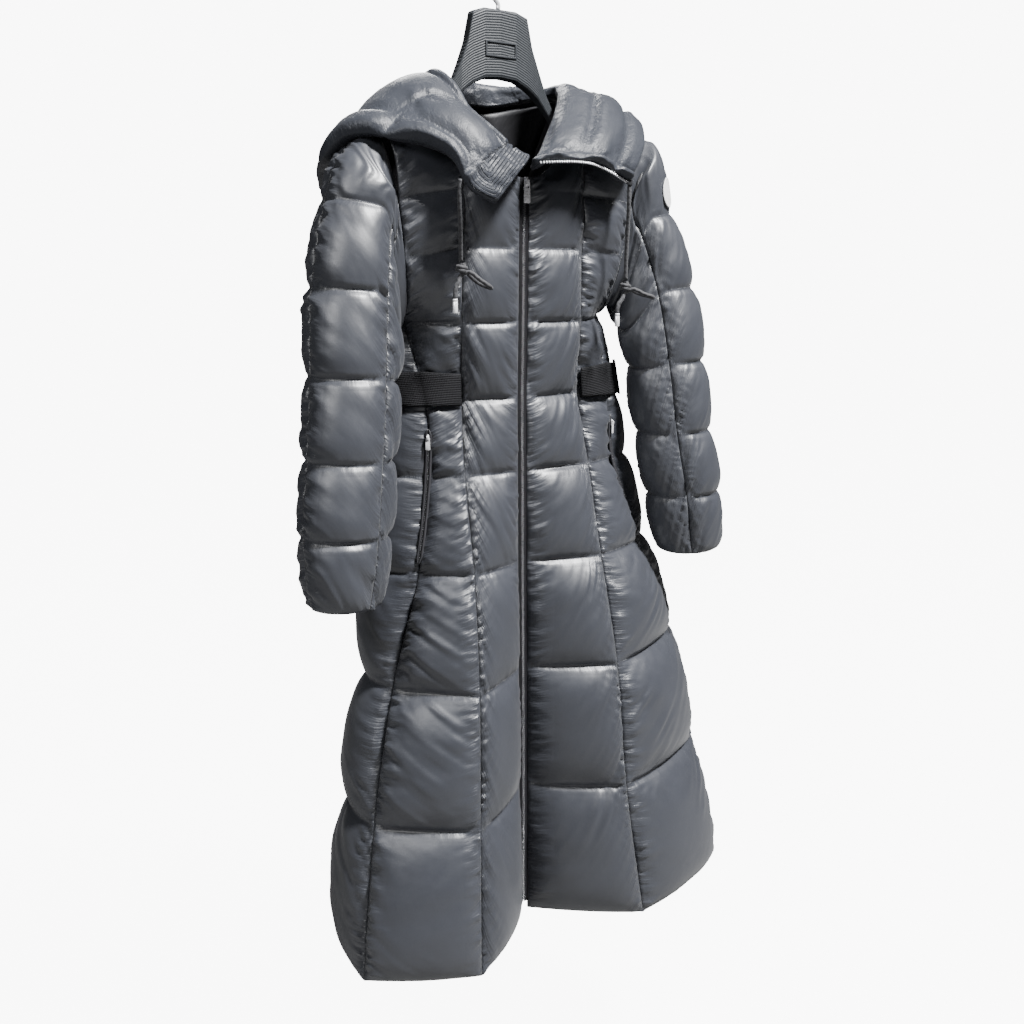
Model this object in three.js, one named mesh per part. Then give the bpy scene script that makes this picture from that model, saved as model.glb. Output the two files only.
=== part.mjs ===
// A long hooded puffer coat on a plastic hanger, zip closed, hood laid back and folded open.
// Millimetres, +Z up, +X the wearer's left, -Y the front. The origin is where the hook hangs.
import * as THREE from 'three';

const coat = new THREE.Group();

const CLOTH_OUT = 1;
const CLOTH_IN = 2;
const SEAM_GAP = 0.4;
const ZIP_X = 3;
const ZIP_HALF = 7;
const SIDES = [{ name: 'right', sign: -1 }, { name: 'left', sign: 1 }];

const down = new THREE.MeshStandardMaterial({ color: 0x34343b, roughness: 0.42, metalness: 0 });
const webbing = new THREE.MeshStandardMaterial({ color: 0x0d0d0f, roughness: 0.85, metalness: 0 });
const metal = new THREE.MeshStandardMaterial({ color: 0xb9bbc0, roughness: 0.25, metalness: 1 });
const cordCloth = new THREE.MeshStandardMaterial({ color: 0x2a2a2e, roughness: 0.8, metalness: 0 });
const plastic = new THREE.MeshStandardMaterial({ color: 0x36373b, roughness: 0.5, metalness: 0 });
const white = new THREE.MeshStandardMaterial({ color: 0xe8e8ea, roughness: 0.6, metalness: 0 });

const vec = (x, y, z) => new THREE.Vector3(x, y, z);
const radians = (degrees) => degrees * Math.PI / 180;
const mix = (a, b, k) => a + (b - a) * k;
const smooth = (k) => k * k * (3 - 2 * k);
const clamp01 = (k) => Math.min(1, Math.max(0, k));

// A value between the rows of a table, on a smooth curve through them.
function along(values, t) {
  const last = values.length - 1;
  const i = Math.min(last - 1, Math.max(0, Math.floor(t)));
  const k = t - i;
  const at = (n) => values[Math.min(last, Math.max(0, n))];
  const slopeA = (at(i + 1) - at(i - 1)) / 2;
  const slopeB = (at(i + 2) - at(i)) / 2;
  const k2 = k * k;
  const k3 = k2 * k;
  return (2 * k3 - 3 * k2 + 1) * at(i) + (k3 - 2 * k2 + k) * slopeA
    + (3 * k2 - 2 * k3) * at(i + 1) + (k3 - k2) * slopeB;
}

// How far a padded cell swells across its width or height: none at a seam, full in the middle.
const swell = (k) => Math.pow(1 - Math.pow(Math.abs(2 * k - 1), 2.6), 0.75);

// Steps across one padded cell, closer together at its seams.
const CELL_STEPS = [0, 0.16, 0.5, 0.84, 1];

function stepsFor(rows) {
  const steps = [rows[0]];
  for (let i = 0; i + 1 < rows.length; i += 1) {
    for (const k of CELL_STEPS.slice(1)) steps.push(mix(rows[i], rows[i + 1], k));
  }
  return steps;
}

function addMesh(name, geometry, material) {
  const mesh = new THREE.Mesh(geometry, material);
  mesh.name = name;
  coat.add(mesh);
  return mesh;
}

function closedGeometry(points, faces) {
  let volume = 0;
  for (const [a, b, c] of faces) volume += points[a].dot(points[b].clone().cross(points[c]));
  const index = faces.flatMap(([a, b, c]) => (volume < 0 ? [a, c, b] : [a, b, c]));
  const geometry = new THREE.BufferGeometry();
  const numbers = points.flatMap((p) => p.toArray());
  geometry.setAttribute('position', new THREE.Float32BufferAttribute(numbers, 3));
  geometry.setIndex(index);
  geometry.computeVertexNormals();
  return geometry;
}

// A wall of cloth: a fine outer face over an inner face that takes every second step.
function wallGeometry(us, vs, outer, inner, coarse = 2) {
  const points = [];
  const faces = [];
  const outerAt = us.map((u) => vs.map((v) => points.push(outer(u, v)) - 1));
  const innerU = us.filter((_, i) => i % coarse === 0);
  const innerV = vs.filter((_, j) => j % coarse === 0);
  const innerAt = innerU.map((u) => innerV.map((v) => points.push(inner(u, v)) - 1));
  const skin = (grid, flip) => {
    for (let i = 0; i + 1 < grid.length; i += 1) {
      for (let j = 0; j + 1 < grid[0].length; j += 1) {
        const [a, b] = [grid[i][j], grid[i + 1][j]];
        const [c, d] = [grid[i + 1][j + 1], grid[i][j + 1]];
        faces.push(flip ? [a, c, b] : [a, b, c], flip ? [a, d, c] : [a, c, d]);
      }
    }
  };
  skin(outerAt, false);
  skin(innerAt, true);
  const rim = (outerLine, innerLine, flip) => {
    for (let k = 0; k + 1 < innerLine.length; k += 1) {
      const [a, b] = [innerLine[k], innerLine[k + 1]];
      const line = outerLine.slice(k * coarse, (k + 1) * coarse + 1);
      const made = coarse === 2
        ? [[a, line[1], line[0]], [a, b, line[1]], [b, line[2], line[1]]]
        : [[a, line[1], line[0]], [a, b, line[1]]];
      for (const face of made) faces.push(flip ? [face[0], face[2], face[1]] : face);
    }
  };
  const lastU = outerAt.length - 1;
  const lastInner = innerAt.length - 1;
  const lastV = vs.length - 1;
  const lastInnerV = innerV.length - 1;
  rim(outerAt[0], innerAt[0], true);
  rim(outerAt[lastU], innerAt[lastInner], false);
  rim(outerAt.map((line) => line[0]), innerAt.map((line) => line[0]), false);
  rim(outerAt.map((line) => line[lastV]), innerAt.map((line) => line[lastInnerV]), true);
  return closedGeometry(points, faces);
}

// The armhole and the sleeve, one value for each ring: the armhole, the cap, five quilting
// seams and the cuff. wide runs across the body, deep from front to back, and drop lowers the
// armpit side. fall says how sharply it lowers it, push moves it out, lag turns the seams up
// the armhole, and sink presses the right shoulder down under the folded hood.
const SLEEVE = {
  x: [178, 196, 216, 243, 255, 266, 280, 289],
  y: [0, -8, -20, -36, -50, -62, -72, -78],
  z: [-340, -266, -323, -424, -530, -633, -728, -818],
  tilt: [84, 46, 10, 4, 2, 2, 2, 2],
  wide: [118, 60, 52, 54, 54, 54, 54, 42],
  deep: [48, 49, 47, 48, 49, 49, 48, 37],
  drop: [0, 138, 134, 56, 8, 0, 0, 0],
  fall: [2, 1.5, 2.5, 3, 3, 3, 3, 3],
  lag: [46, 4, 0, 0, 0, 0, 0, 0],
  push: [0, 26, 17, 0, 0, 0, 0, 0],
  sway: [6, 6, 6, 8, 8, 6, 7, 9],
  sink: [8, 36, 0, 0, 0, 0, 0, 0],
};
const SLEEVE_SEAMS = [0, 2, 3, 4, 5, 6, 7];
const SLEEVE_PUFF = [11, 12, 12, 12, 11, 12];
const SLEEVE_PANELS = [
  { name: 'front', from: 30, to: -90 },
  { name: 'back', from: -90, to: -210 },
  { name: 'under', from: 150, to: 30 },
];

// A point of a ring before it is padded. The angle is 0 at the front and 90 at the armpit.
function ringPoint(sign, t, angle) {
  const get = (key) => along(SLEEVE[key], t);
  const tilt = radians(get('tilt'));
  const across = -Math.sin(radians(angle)) * get('wide');
  const armpit = Math.max(0, Math.sin(radians(angle)));
  return vec(
    sign * (get('x') + across * Math.cos(tilt) + get('push') * armpit) + get('sway'),
    get('y') - Math.cos(radians(angle)) * get('deep'),
    get('z') + across * Math.sin(tilt) - get('drop') * armpit ** get('fall')
      - (sign < 0 ? get('sink') : 0),
  );
}

// The same on the sleeve, whose lengthwise seams reach the armhole higher up than they lie below.
const LAG_MIDDLE = 30;
const LAG_REACH = { up: 115, down: 60 };
function laggedAngle(t, angle) {
  const behind = Math.cos(radians(angle)) < 0;
  const turned = angle < -90 ? angle + 360 : angle;
  const front = behind ? 180 - turned : angle;
  const reach = front < LAG_MIDDLE ? LAG_REACH.up : LAG_REACH.down;
  const share = Math.max(0, 1 - ((front - LAG_MIDDLE) / reach) ** 2);
  const lag = along(SLEEVE.lag, t) * share;
  return behind ? 180 - front + lag : front - lag;
}
const sleevePoint = (sign, t, angle) => ringPoint(sign, t, laggedAngle(t, angle));

function ringNormal(sign, t, angle) {
  const get = (key) => along(SLEEVE[key], t);
  const tilt = radians(get('tilt'));
  const across = -Math.sin(radians(angle)) / get('wide');
  const ahead = -Math.cos(radians(angle)) / get('deep');
  return vec(sign * across * Math.cos(tilt), ahead, across * Math.sin(tilt)).normalize();
}
const sleeveNormal = (sign, t, angle) => ringNormal(sign, t, laggedAngle(t, angle));

function cellOf(rows, t) {
  let cell = 0;
  while (cell < rows.length - 2 && t >= rows[cell + 1]) cell += 1;
  return { cell, k: clamp01((t - rows[cell]) / (rows[cell + 1] - rows[cell])) };
}

function sleeveOuter(sign, t, angle, across) {
  const { cell, k } = cellOf(SLEEVE_SEAMS, t);
  const armpit = smooth(clamp01(angle > -90 ? (angle + 10) / 60 : (-130 - angle) / 60));
  const slack = 1 - 0.85 * armpit * clamp01((3.5 - t) / 2);
  const puff = SLEEVE_PUFF[cell] * swell(k) * swell(across) * slack;
  return sleevePoint(sign, t, angle).addScaledVector(sleeveNormal(sign, t, angle), CLOTH_OUT + puff);
}

// The body: one row for each quilting seam, half widths from the middle of the coat.
// The top row, at the neck and shoulder, is given as points of its own below. spread moves the
// left side out, where the skirt hangs wider.
const BODY = [
  { row: 'yoke', z: -297, zip: -61, centre: 82, sway: 6, spread: 0,
    princess: [94, -57], flank: [140, 80], back: [94, 88] },
  { row: 'row_1', z: -370, zip: -59, centre: 90, sway: 6, spread: 0,
    princess: [95, -56], flank: [142, 80], back: [95, 94] },
  { row: 'row_2', z: -467, zip: -58, centre: 88, sway: 7, spread: 0,
    princess: [96, -52], flank: [170, 36], back: [93, 92] },
  { row: 'row_3', z: -570, zip: -56, centre: 80, sway: 15, spread: 8,
    princess: [96, -35], flank: [172, 18], back: [88, 80] },
  { row: 'row_4', z: -672, zip: -57, centre: 84, sway: 14, spread: 18,
    princess: [103, -57], flank: [188, 16], back: [92, 88] },
  { row: 'row_5', z: -804, zip: -58, centre: 92, sway: 13, spread: 44,
    princess: [107, -89], flank: [200, 38], back: [98, 100] },
  { row: 'row_6', z: -963, zip: -60, centre: 102, sway: 10, spread: 84,
    princess: [117, -124], flank: [204, 44], back: [110, 116] },
  { row: 'row_7', z: -1149, zip: -62, centre: 112, sway: 6, spread: 86,
    princess: [126, -146], flank: [230, 48], back: [125, 132] },
  { row: 'hem', z: -1354, zip: -64, centre: 124, sway: 10, spread: 72,
    princess: [143, -168], flank: [250, 55], back: [140, 150] },
];
// The side seam below the armhole, from row 2 down.
const SIDE_SEAM = [[157, -2], [147, -27], [144, -29], [167, -41], [204, -36], [244, -58], [285, -92]];
const UNDERARM_ROW = 3;
const UNDERARM_Z = -464;
const BODY_PUFF = [3, 9, 12, 13, 15, 20, 24, 27, 27];
const LEAN = [0.3, 0.1, 0, 0, 0.1, 0.15, 0.15, 0.15, 0.15, 0.15];
const ROWS = [0, 1, 2, 3, 4, 5, 6, 7, 8, 9];
const CENTRE_ROWS = [0, 2, 3, 4, 5, 6, 7, 8, 9];
// The armhole's angle where each body row meets it.
const ARMHOLE_ANGLES = [-90, -18, 18, 90];

const NECK_HALF = 95;
const NECK_SIDE_Y = 4;
const NECK_SIDE_Z = -168;
const NECK_FRONT = { deep: 66, drop: 111 };
const NECK_BACK = { deep: 60, drop: 16 };
const NECK_FALL = 1.4;

// The neck seam, at an angle of 0 at the zip, 90 at the shoulder and 180 at the centre back.
function neckPoint(sign, angle) {
  const turn = Math.cos(radians(angle));
  const part = turn > 0 ? NECK_FRONT : NECK_BACK;
  const reach = Math.abs(turn);
  return vec(
    sign * NECK_HALF * Math.sin(radians(angle)) + ZIP_X,
    NECK_SIDE_Y - Math.sign(turn) * part.deep * reach,
    NECK_SIDE_Z - part.drop * reach ** NECK_FALL,
  );
}

const BELT_Z = -556;
const BELT_PINCH = 34;

function seamColumn(sign, pick, top, share) {
  return [top, ...BODY.map((row) => {
    const [x, y] = pick(row);
    return vec(sign * x + row.sway + (sign > 0 ? row.spread * share : 0), y, row.z);
  })];
}

function alongPoints(points, t) {
  return vec(
    along(points.map((p) => p.x), t),
    along(points.map((p) => p.y), t),
    along(points.map((p) => p.z), t),
  );
}

function bodySeams(sign) {
  const shoulder = neckPoint(sign, 90);
  const tip = ringPoint(sign, 0, -90);
  const zip = [neckPoint(sign, 0), ...BODY.map((row) => vec(0, row.zip, row.z))];
  for (const p of zip) p.x = ZIP_X + sign * (ZIP_HALF + SEAM_GAP / 2);
  const centreTop = neckPoint(sign, 180);
  const centre = [centreTop, ...BODY.map((row) => vec(row.sway, row.centre, row.z))];
  centre[0].x = BODY[0].sway;
  const below = SIDE_SEAM.map(([x, y], i) => {
    const row = BODY[i + UNDERARM_ROW - 1];
    return vec(sign * x + row.sway + (sign > 0 ? row.spread : 0), y, i === 0 ? UNDERARM_Z : row.z);
  });
  return {
    zip,
    princess: seamColumn(sign, (row) => row.princess, shoulder, 0),
    flank: seamColumn(sign, (row) => row.flank, shoulder.clone().lerp(tip, 0.5), 1),
    back: seamColumn(sign, (row) => row.back, shoulder, 0.4),
    centre,
    below,
  };
}
const SEAMS = { [-1]: bodySeams(-1), [1]: bodySeams(1) };

function armholeAngle(t) {
  const i = Math.min(2, Math.floor(t));
  return mix(ARMHOLE_ANGLES[i], ARMHOLE_ANGLES[i + 1], t - i);
}

// The outer edge of the front and back side panels: the armhole, then the side seam.
function edgePoint(sign, t, front) {
  const seam = SEAMS[sign];
  if (t >= UNDERARM_ROW) return alongPoints(seam.below, t - UNDERARM_ROW);
  const angle = armholeAngle(t);
  const p = ringPoint(sign, 0, front ? angle : 180 - angle);
  const under = smooth(clamp01((t - 2) / (UNDERARM_ROW - 2)));
  p.x -= sign * (1.1 + 8 * under);
  return p.lerp(seam.below[0], under ** 3);
}

function planNormal(before, after, sign, lean) {
  const d = after.clone().sub(before);
  return vec(sign * d.y, -sign * d.x, 0).normalize().setZ(lean).normalize();
}

// The direction in which the cloth swells at a seam, shared by the panels on both sides of it.
function seamNormal(sign, seam, t) {
  const s = SEAMS[sign];
  const at = (name) => (name === 'edge' ? edgePoint(sign, t, false) : alongPoints(s[name], t));
  const frontEdge = edgePoint(sign, t, true);
  const lean = along(LEAN, t);
  const flat = {
    zip: () => vec(0, -1, lean).normalize(),
    centre: () => vec(0, 1, lean).normalize(),
    princess: () => planNormal(at('zip'), frontEdge, sign, lean),
    flank: () => planNormal(at('edge'), at('back'), sign, lean),
    back: () => planNormal(at('flank'), at('centre'), sign, lean),
    side: () => planNormal(at('princess'), at('flank'), sign, lean),
    frontEdge: () => ringNormal(sign, 0, armholeAngle(Math.min(t, 2.99))),
    backEdge: () => ringNormal(sign, 0, 180 - armholeAngle(Math.min(t, 2.99))),
  };
  if (seam === 'frontEdge' || seam === 'backEdge') {
    if (t >= UNDERARM_ROW) return flat.side();
    const under = smooth(clamp01((t - 2) / (UNDERARM_ROW - 2)));
    const side = vec(sign, 0, 0);
    return flat[seam]().multiplyScalar(1 - under).addScaledVector(side, under).normalize();
  }
  const n = flat[seam]();
  if (t >= 1 || seam === 'zip' || seam === 'centre') return n;
  return n.lerp(vec(0, 0, 1), (1 - t) ** 2).normalize();
}

// How much rounder the shoulder is than a straight slope from the seam to the yoke.
const SHOULDER_ROUND = 17;

const PANELS = [
  { name: 'front_centre', from: 'zip', to: 'princess', rows: CENTRE_ROWS, neck: 'front' },
  { name: 'front_side', from: 'princess', to: 'frontEdge', rows: ROWS },
  { name: 'back_side', from: 'backEdge', via: 'flank', to: 'back', rows: ROWS },
  { name: 'back_centre', from: 'back', to: 'centre', rows: ROWS, neck: 'back' },
];

function seamPlace(sign, seam, t) {
  if (seam === 'frontEdge') return edgePoint(sign, t, true);
  if (seam === 'backEdge') return edgePoint(sign, t, false);
  return alongPoints(SEAMS[sign][seam], t);
}

function panelBase(panel, sign, u, t) {
  const a = seamPlace(sign, panel.from, t);
  const b = seamPlace(sign, panel.to, t);
  const na = seamNormal(sign, panel.from, t);
  const nb = seamNormal(sign, panel.to, t);
  const normal = na.clone().lerp(nb, u).normalize();
  const width = a.distanceTo(b);
  const k = mix(SEAM_GAP / 2 / width, 1 - SEAM_GAP / 2 / width, u);
  const p = a.clone().lerp(b, k);
  const hump = 4 * k * (1 - k);
  if (panel.via) {
    const bow = seamPlace(sign, panel.via, t).sub(a.clone().lerp(b, 0.5));
    p.addScaledVector(bow, hump);
    const nv = seamNormal(sign, panel.via, t);
    normal.lerp(nv, hump * 0.7).normalize();
  } else {
    p.addScaledVector(normal, 0.05 * width * hump);
  }
  if (panel.neck && t < 1) {
    const reach = panel.neck === 'front' ? u : 1 - u;
    const angle = panel.neck === 'front' ? Math.asin(reach) : Math.PI - Math.asin(reach);
    const curve = neckPoint(sign, THREE.MathUtils.radToDeg(angle));
    const [start, end] = [panel.from, panel.to].map((seam) => alongPoints(SEAMS[sign][seam], 0));
    const straight = start.lerp(end, u);
    p.addScaledVector(curve.sub(straight).setX(0), (1 - t) ** 1.5);
  }
  if (t < 1) {
    const shoulder = panel.neck ? (panel.neck === 'front' ? u : 1 - u) ** 2 : 1;
    p.addScaledVector(normal, SHOULDER_ROUND * 4 * t * (1 - t) * shoulder);
  }
  return { p, normal, width };
}

// A narrow panel swells less: at most this share of its width.
const PUFF_SHARE = 0.17;
// Under the arm the body is pressed flat, round this row.
const ARMPIT_ROW = 2.5;
const ARMPIT_REACH = 1;

function panelPuff(panel, u, t, z, width) {
  const { cell, k } = cellOf(panel.rows, t);
  const pinch = panel.name === 'front_centre' ? 0 : 0.75 * Math.exp(-(((z - BELT_Z) / BELT_PINCH) ** 2));
  const pressed = mix(0.3, 1, smooth(clamp01(t)));
  const most = Math.min(BODY_PUFF[panel.rows[cell + 1] - 1], PUFF_SHARE * width);
  const outward = { front_side: u, back_side: 1 - u }[panel.name] ?? 0;
  const armpit = smooth(outward) * Math.exp(-(((t - ARMPIT_ROW) / ARMPIT_REACH) ** 2));
  return most * swell(k) * swell(u) * (1 - pinch) * pressed * (1 - 0.85 * armpit);
}

function panelOuter(panel, sign, u, t, lift = 0) {
  const { p, normal, width } = panelBase(panel, sign, u, t);
  return p.addScaledVector(normal, CLOTH_OUT + panelPuff(panel, u, t, p.z, width) + lift);
}

function panelInner(panel, sign, u, t) {
  const { p, normal } = panelBase(panel, sign, u, t);
  return p.addScaledVector(normal, -CLOTH_IN);
}

const TOP_TRIM = 0.003;
const SLEEVE_TRIM = 0.45;
for (const { name, sign } of SIDES) {
  for (const panel of PANELS) {
    const vs = stepsFor(ROWS);
    vs[0] = TOP_TRIM;
    const geometry = wallGeometry(CELL_STEPS, vs,
      (u, t) => panelOuter(panel, sign, u, t), (u, t) => panelInner(panel, sign, u, t));
    addMesh(`${panel.name}_${name}`, geometry, down);
  }
  for (const panel of SLEEVE_PANELS) {
    const trim = Math.sign(panel.to - panel.from) * SLEEVE_TRIM;
    const [from, to] = [panel.from + trim, panel.to - trim];
    const vs = stepsFor([0, 1, 2, 3, 4, 5, 6, 7]);
    vs[0] = 0.012;
    const geometry = wallGeometry(CELL_STEPS, vs,
      (u, t) => sleeveOuter(sign, t, mix(from, to, u), u),
      (u, t) => {
        const angle = mix(from, to, u);
        return sleevePoint(sign, t, angle).addScaledVector(sleeveNormal(sign, t, angle), -CLOTH_IN);
      });
    addMesh(`sleeve_${panel.name}_${name}`, geometry, down);
  }
}

// The hood: one row for each station round the neck, from the zip to the centre back. Each
// runs up from the neck seam to the fold, out over the crest (the bag's bottom at the back)
// and on to the rim.
const HOOD = {
  right: [
    { neck: 4, fold: [-13, -94, -262], crest: [-45, -114, -285], rim: [-78, -121, -318] },
    { neck: 14, fold: [-40, -90, -250], crest: [-78, -110, -268], rim: [-112, -116, -302] },
    { neck: 32, fold: [-56, -73, -230], crest: [-95, -90, -233], rim: [-127, -97, -264] },
    { neck: 52, fold: [-69, -46, -203], crest: [-116, -62, -207], rim: [-158, -76, -246] },
    { neck: 72, fold: [-80, -15, -166], crest: [-132, -26, -183], rim: [-186, -58, -242] },
    { neck: 90, fold: [-84, 12, -150], crest: [-150, 4, -178], rim: [-213, -37, -235] },
    { neck: 108, fold: [-78, 38, -152], crest: [-162, 38, -192], rim: [-235, -8, -240] },
    { neck: 126, fold: [-64, 60, -155], crest: [-158, 90, -230], rim: [-245, 34, -265] },
    { neck: 144, fold: [-44, 76, -156], crest: [-116, 132, -320], rim: [-206, 122, -276] },
    { neck: 162, fold: [-20, 84, -159], crest: [-58, 148, -392], rim: [-102, 172, -250] },
    { neck: 180, fold: [3, 86, -160], crest: [3, 154, -412], rim: [3, 192, -240] },
  ],
  left: [
    { neck: 4, fold: [8, -95, -262], crest: [78, -109, -260], rim: [150, -97, -280] },
    { neck: 22, fold: [26, -80, -244], crest: [100, -94, -237], rim: [174, -82, -256] },
    { neck: 44, fold: [60, -50, -207], crest: [130, -64, -203], rim: [204, -54, -225] },
    { neck: 66, fold: [94, -16, -165], crest: [156, -26, -169], rim: [224, -20, -199] },
    { neck: 88, fold: [112, 16, -149], crest: [172, 12, -161], rim: [232, 12, -190] },
    { neck: 108, fold: [100, 40, -152], crest: [170, 56, -182], rim: [238, 50, -210] },
    { neck: 126, fold: [72, 60, -151], crest: [146, 96, -236], rim: [222, 98, -246] },
    { neck: 144, fold: [48, 76, -156], crest: [106, 134, -330], rim: [170, 142, -256] },
    { neck: 162, fold: [26, 84, -159], crest: [54, 149, -394], rim: [86, 178, -246] },
    { neck: 180, fold: [3, 86, -160], crest: [3, 154, -412], rim: [3, 192, -240] },
  ],
};
const HOOD_HALF = 5;
const HOOD_NECK_HALF = 2.5;
const HOOD_PUFF = 8;
const HOOD_START = 5.9;
const HOOD_BACK = { from: 110, to: 150 };
const HOOD_ACROSS = [0, 0.5, 1, 1.5, 2, 2.5, 3];
const HOOD_CELL = { right: 2, left: 2.5 };

function hoodBase(side, s, w) {
  const rows = HOOD[side.name];
  const column = (pick) => vec(...[0, 1, 2].map((axis) => along(rows.map((row) => pick(row)[axis]), s)));
  const fold = column((row) => row.fold);
  const neck = neckPoint(side.sign, along(rows.map((row) => row.neck), s));
  const rise = fold.clone().sub(neck).normalize();
  neck.addScaledVector(rise, HOOD_START);
  neck.z += HOOD_NECK_HALF * Math.hypot(rise.x, rise.y) + HOOD_START;
  const line = [neck, fold, column((row) => row.crest), column((row) => row.rim)];
  return alongPoints(line, w);
}

function hoodNormal(side, s, w) {
  const e = 0.02;
  const last = HOOD[side.name].length - 1;
  const [s0, s1] = [Math.max(0, s - e), Math.min(last, s + e)];
  const [w0, w1] = [Math.max(0, w - e), Math.min(3, w + e)];
  const ds = hoodBase(side, s1, w).sub(hoodBase(side, s0, w));
  const dw = hoodBase(side, s, w1).sub(hoodBase(side, s, w0));
  const n = dw.cross(ds).multiplyScalar(side.sign).normalize();
  n.x *= clamp01((last - s) * 2);
  return n.normalize();
}

// face is 1 on the side that shows at the front, and -1 on the side that lies on the coat.
function hoodFace(side, s, w, face) {
  const rows = HOOD[side.name];
  const last = rows.length - 1;
  const trimmed = Math.min(s, last - 0.01);
  const n = hoodNormal(side, trimmed, w);
  const cell = HOOD_CELL[side.name];
  const round = swell((s % cell) / cell) * (w > 1 ? swell((w - 1) / 2) : 0);
  const neck = along(rows.map((row) => row.neck), s);
  const behind = smooth(clamp01((neck - HOOD_BACK.from) / (HOOD_BACK.to - HOOD_BACK.from)));
  const share = face > 0 ? 1 - 0.7 * behind : behind * clamp01((w - 1.6) * 2);
  const half = mix(HOOD_NECK_HALF, HOOD_HALF, clamp01(w * 1.5));
  return hoodBase(side, trimmed, w).addScaledVector(n, face * (half + HOOD_PUFF * round * share));
}

for (const side of SIDES) {
  const last = HOOD[side.name].length - 1;
  const stations = [];
  for (let s = 0; s <= last; s += 0.5) stations.push(s);
  const geometry = wallGeometry(stations, HOOD_ACROSS,
    (s, w) => hoodFace(side, s, w, 1), (s, w) => hoodFace(side, s, w, -1), 1);
  addMesh(`hood_${side.name}`, geometry, down);
}

// A closed bar lofted through like sections, each a ring of the same number of points.
function loftGeometry(sections) {
  const points = sections.flat();
  const size = sections[0].length;
  const faces = [];
  for (let i = 0; i + 1 < sections.length; i += 1) {
    for (let j = 0; j < size; j += 1) {
      const [a, b] = [i * size + j, i * size + (j + 1) % size];
      faces.push([a, b, b + size], [a, b + size, a + size]);
    }
  }
  const end = (sections.length - 1) * size;
  const cap = THREE.ShapeUtils.triangulateShape(flatten(sections[0]), []);
  for (const [a, b, c] of cap) faces.push([a, c, b], [end + a, end + b, end + c]);
  return orientedGeometry(points, faces);
}

// The section's points in a plane of its own, so that its ends can be closed.
function flatten(section) {
  const origin = section[0];
  const along1 = section[1].clone().sub(origin).normalize();
  const across = section[section.length - 1].clone().sub(origin);
  const along2 = across.sub(along1.clone().multiplyScalar(across.dot(along1))).normalize();
  return section.map((p) => {
    const d = p.clone().sub(origin);
    return new THREE.Vector2(d.dot(along1), d.dot(along2));
  });
}

// Turns the caps to match the sides: each shared edge is walked once each way.
function orientedGeometry(points, faces) {
  const seen = new Set();
  const fixed = [];
  for (const face of faces) {
    const edges = ([a, b, c]) => [`${a},${b}`, `${b},${c}`, `${c},${a}`];
    const turned = edges(face).some((edge) => seen.has(edge)) ? [face[0], face[2], face[1]] : face;
    for (const edge of edges(turned)) seen.add(edge);
    fixed.push(turned);
  }
  return closedGeometry(points, fixed);
}

// The zip in the front edges: a tape on each side with its teeth along the middle.
const ZIP_SECTION = [[0.3, -1.6], [2.6, -1.6], [2.6, -0.5], [6.9, -0.5], [6.9, 0.9], [0.3, 0.9]];
const ZIP_END_ROW = 8.9;
for (const { name, sign } of SIDES) {
  const ts = stepsFor(ROWS).filter((t, i) => i % 2 === 0 && t < ZIP_END_ROW);
  ts[0] = TOP_TRIM;
  const sections = ts.map((t) => {
    const middle = alongPoints(SEAMS[sign].zip, t);
    return ZIP_SECTION.map(([x, y]) => vec(ZIP_X + sign * x, middle.y + y, middle.z));
  });
  addMesh(`zip_${name}`, loftGeometry(sections), webbing);
}

// A zip slider with a crown over its face, and the pull tab that hangs from the crown.
const SLIDER = { width: 5, half: 7, face: 2.4, crown: 6.2, holeOut: 5.2, holeHalf: 2.4 };
const PULL = { wide: 10, long: 27, thick: 1.6, slotWide: 6.4, slotLong: 7, hang: 0.8 };
const PULL_AXIS_OUT = 3.8;

function sliderShape() {
  const s = SLIDER;
  const shape = new THREE.Shape([
    [0, -s.half], [s.face, -s.half], [s.face, -4.8], [s.crown, -3.2], [s.crown, 3.2],
    [s.face, 4.8], [s.face, s.half], [0, s.half],
  ].map(([x, y]) => new THREE.Vector2(x, y)));
  shape.holes.push(new THREE.Path([
    [s.face, -s.holeHalf], [s.face, s.holeHalf], [s.holeOut, s.holeHalf], [s.holeOut, -s.holeHalf],
  ].map(([x, y]) => new THREE.Vector2(x + 0.2, y))));
  return shape;
}

function pullShape() {
  const q = PULL;
  const [w, top, low, r] = [q.wide / 2, q.hang, q.hang - q.long, 2];
  const shape = new THREE.Shape();
  shape.moveTo(-w + r, low);
  shape.lineTo(w - r, low);
  shape.absarc(w - r, low + r, r, -Math.PI / 2, 0, false);
  shape.lineTo(w * 0.86, top);
  shape.lineTo(-w * 0.86, top);
  shape.lineTo(-w, low + r);
  shape.absarc(-w + r, low + r, r, Math.PI, Math.PI * 1.5, false);
  const slot = q.slotWide / 2;
  shape.holes.push(new THREE.Path([
    [-slot, -q.hang], [slot, -q.hang], [slot, -q.slotLong], [-slot, -q.slotLong],
  ].map(([x, y]) => new THREE.Vector2(x, y))));
  return shape;
}

// at is the middle of the slider's back, and facing the plan direction that it looks in.
function addPull(names, at, facing, scale) {
  const flat = { bevelEnabled: false, curveSegments: 4 };
  const slider = new THREE.ExtrudeGeometry(sliderShape(), { ...flat, depth: SLIDER.width });
  slider.translate(0, 0, -SLIDER.width / 2).rotateX(Math.PI / 2).rotateZ(-Math.PI / 2);
  const pull = new THREE.ExtrudeGeometry(pullShape(), { ...flat, depth: PULL.thick });
  pull.translate(0, 0, -PULL.thick / 2).rotateX(Math.PI / 2).translate(0, -PULL_AXIS_OUT, 0);
  const turn = Math.atan2(facing.x, -facing.y);
  for (const [name, geometry] of [[names[0], slider], [names[1], pull]]) {
    const mesh = addMesh(name, geometry.scale(scale, scale, scale), metal);
    mesh.position.copy(at);
    mesh.rotation.z = turn;
  }
}

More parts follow.
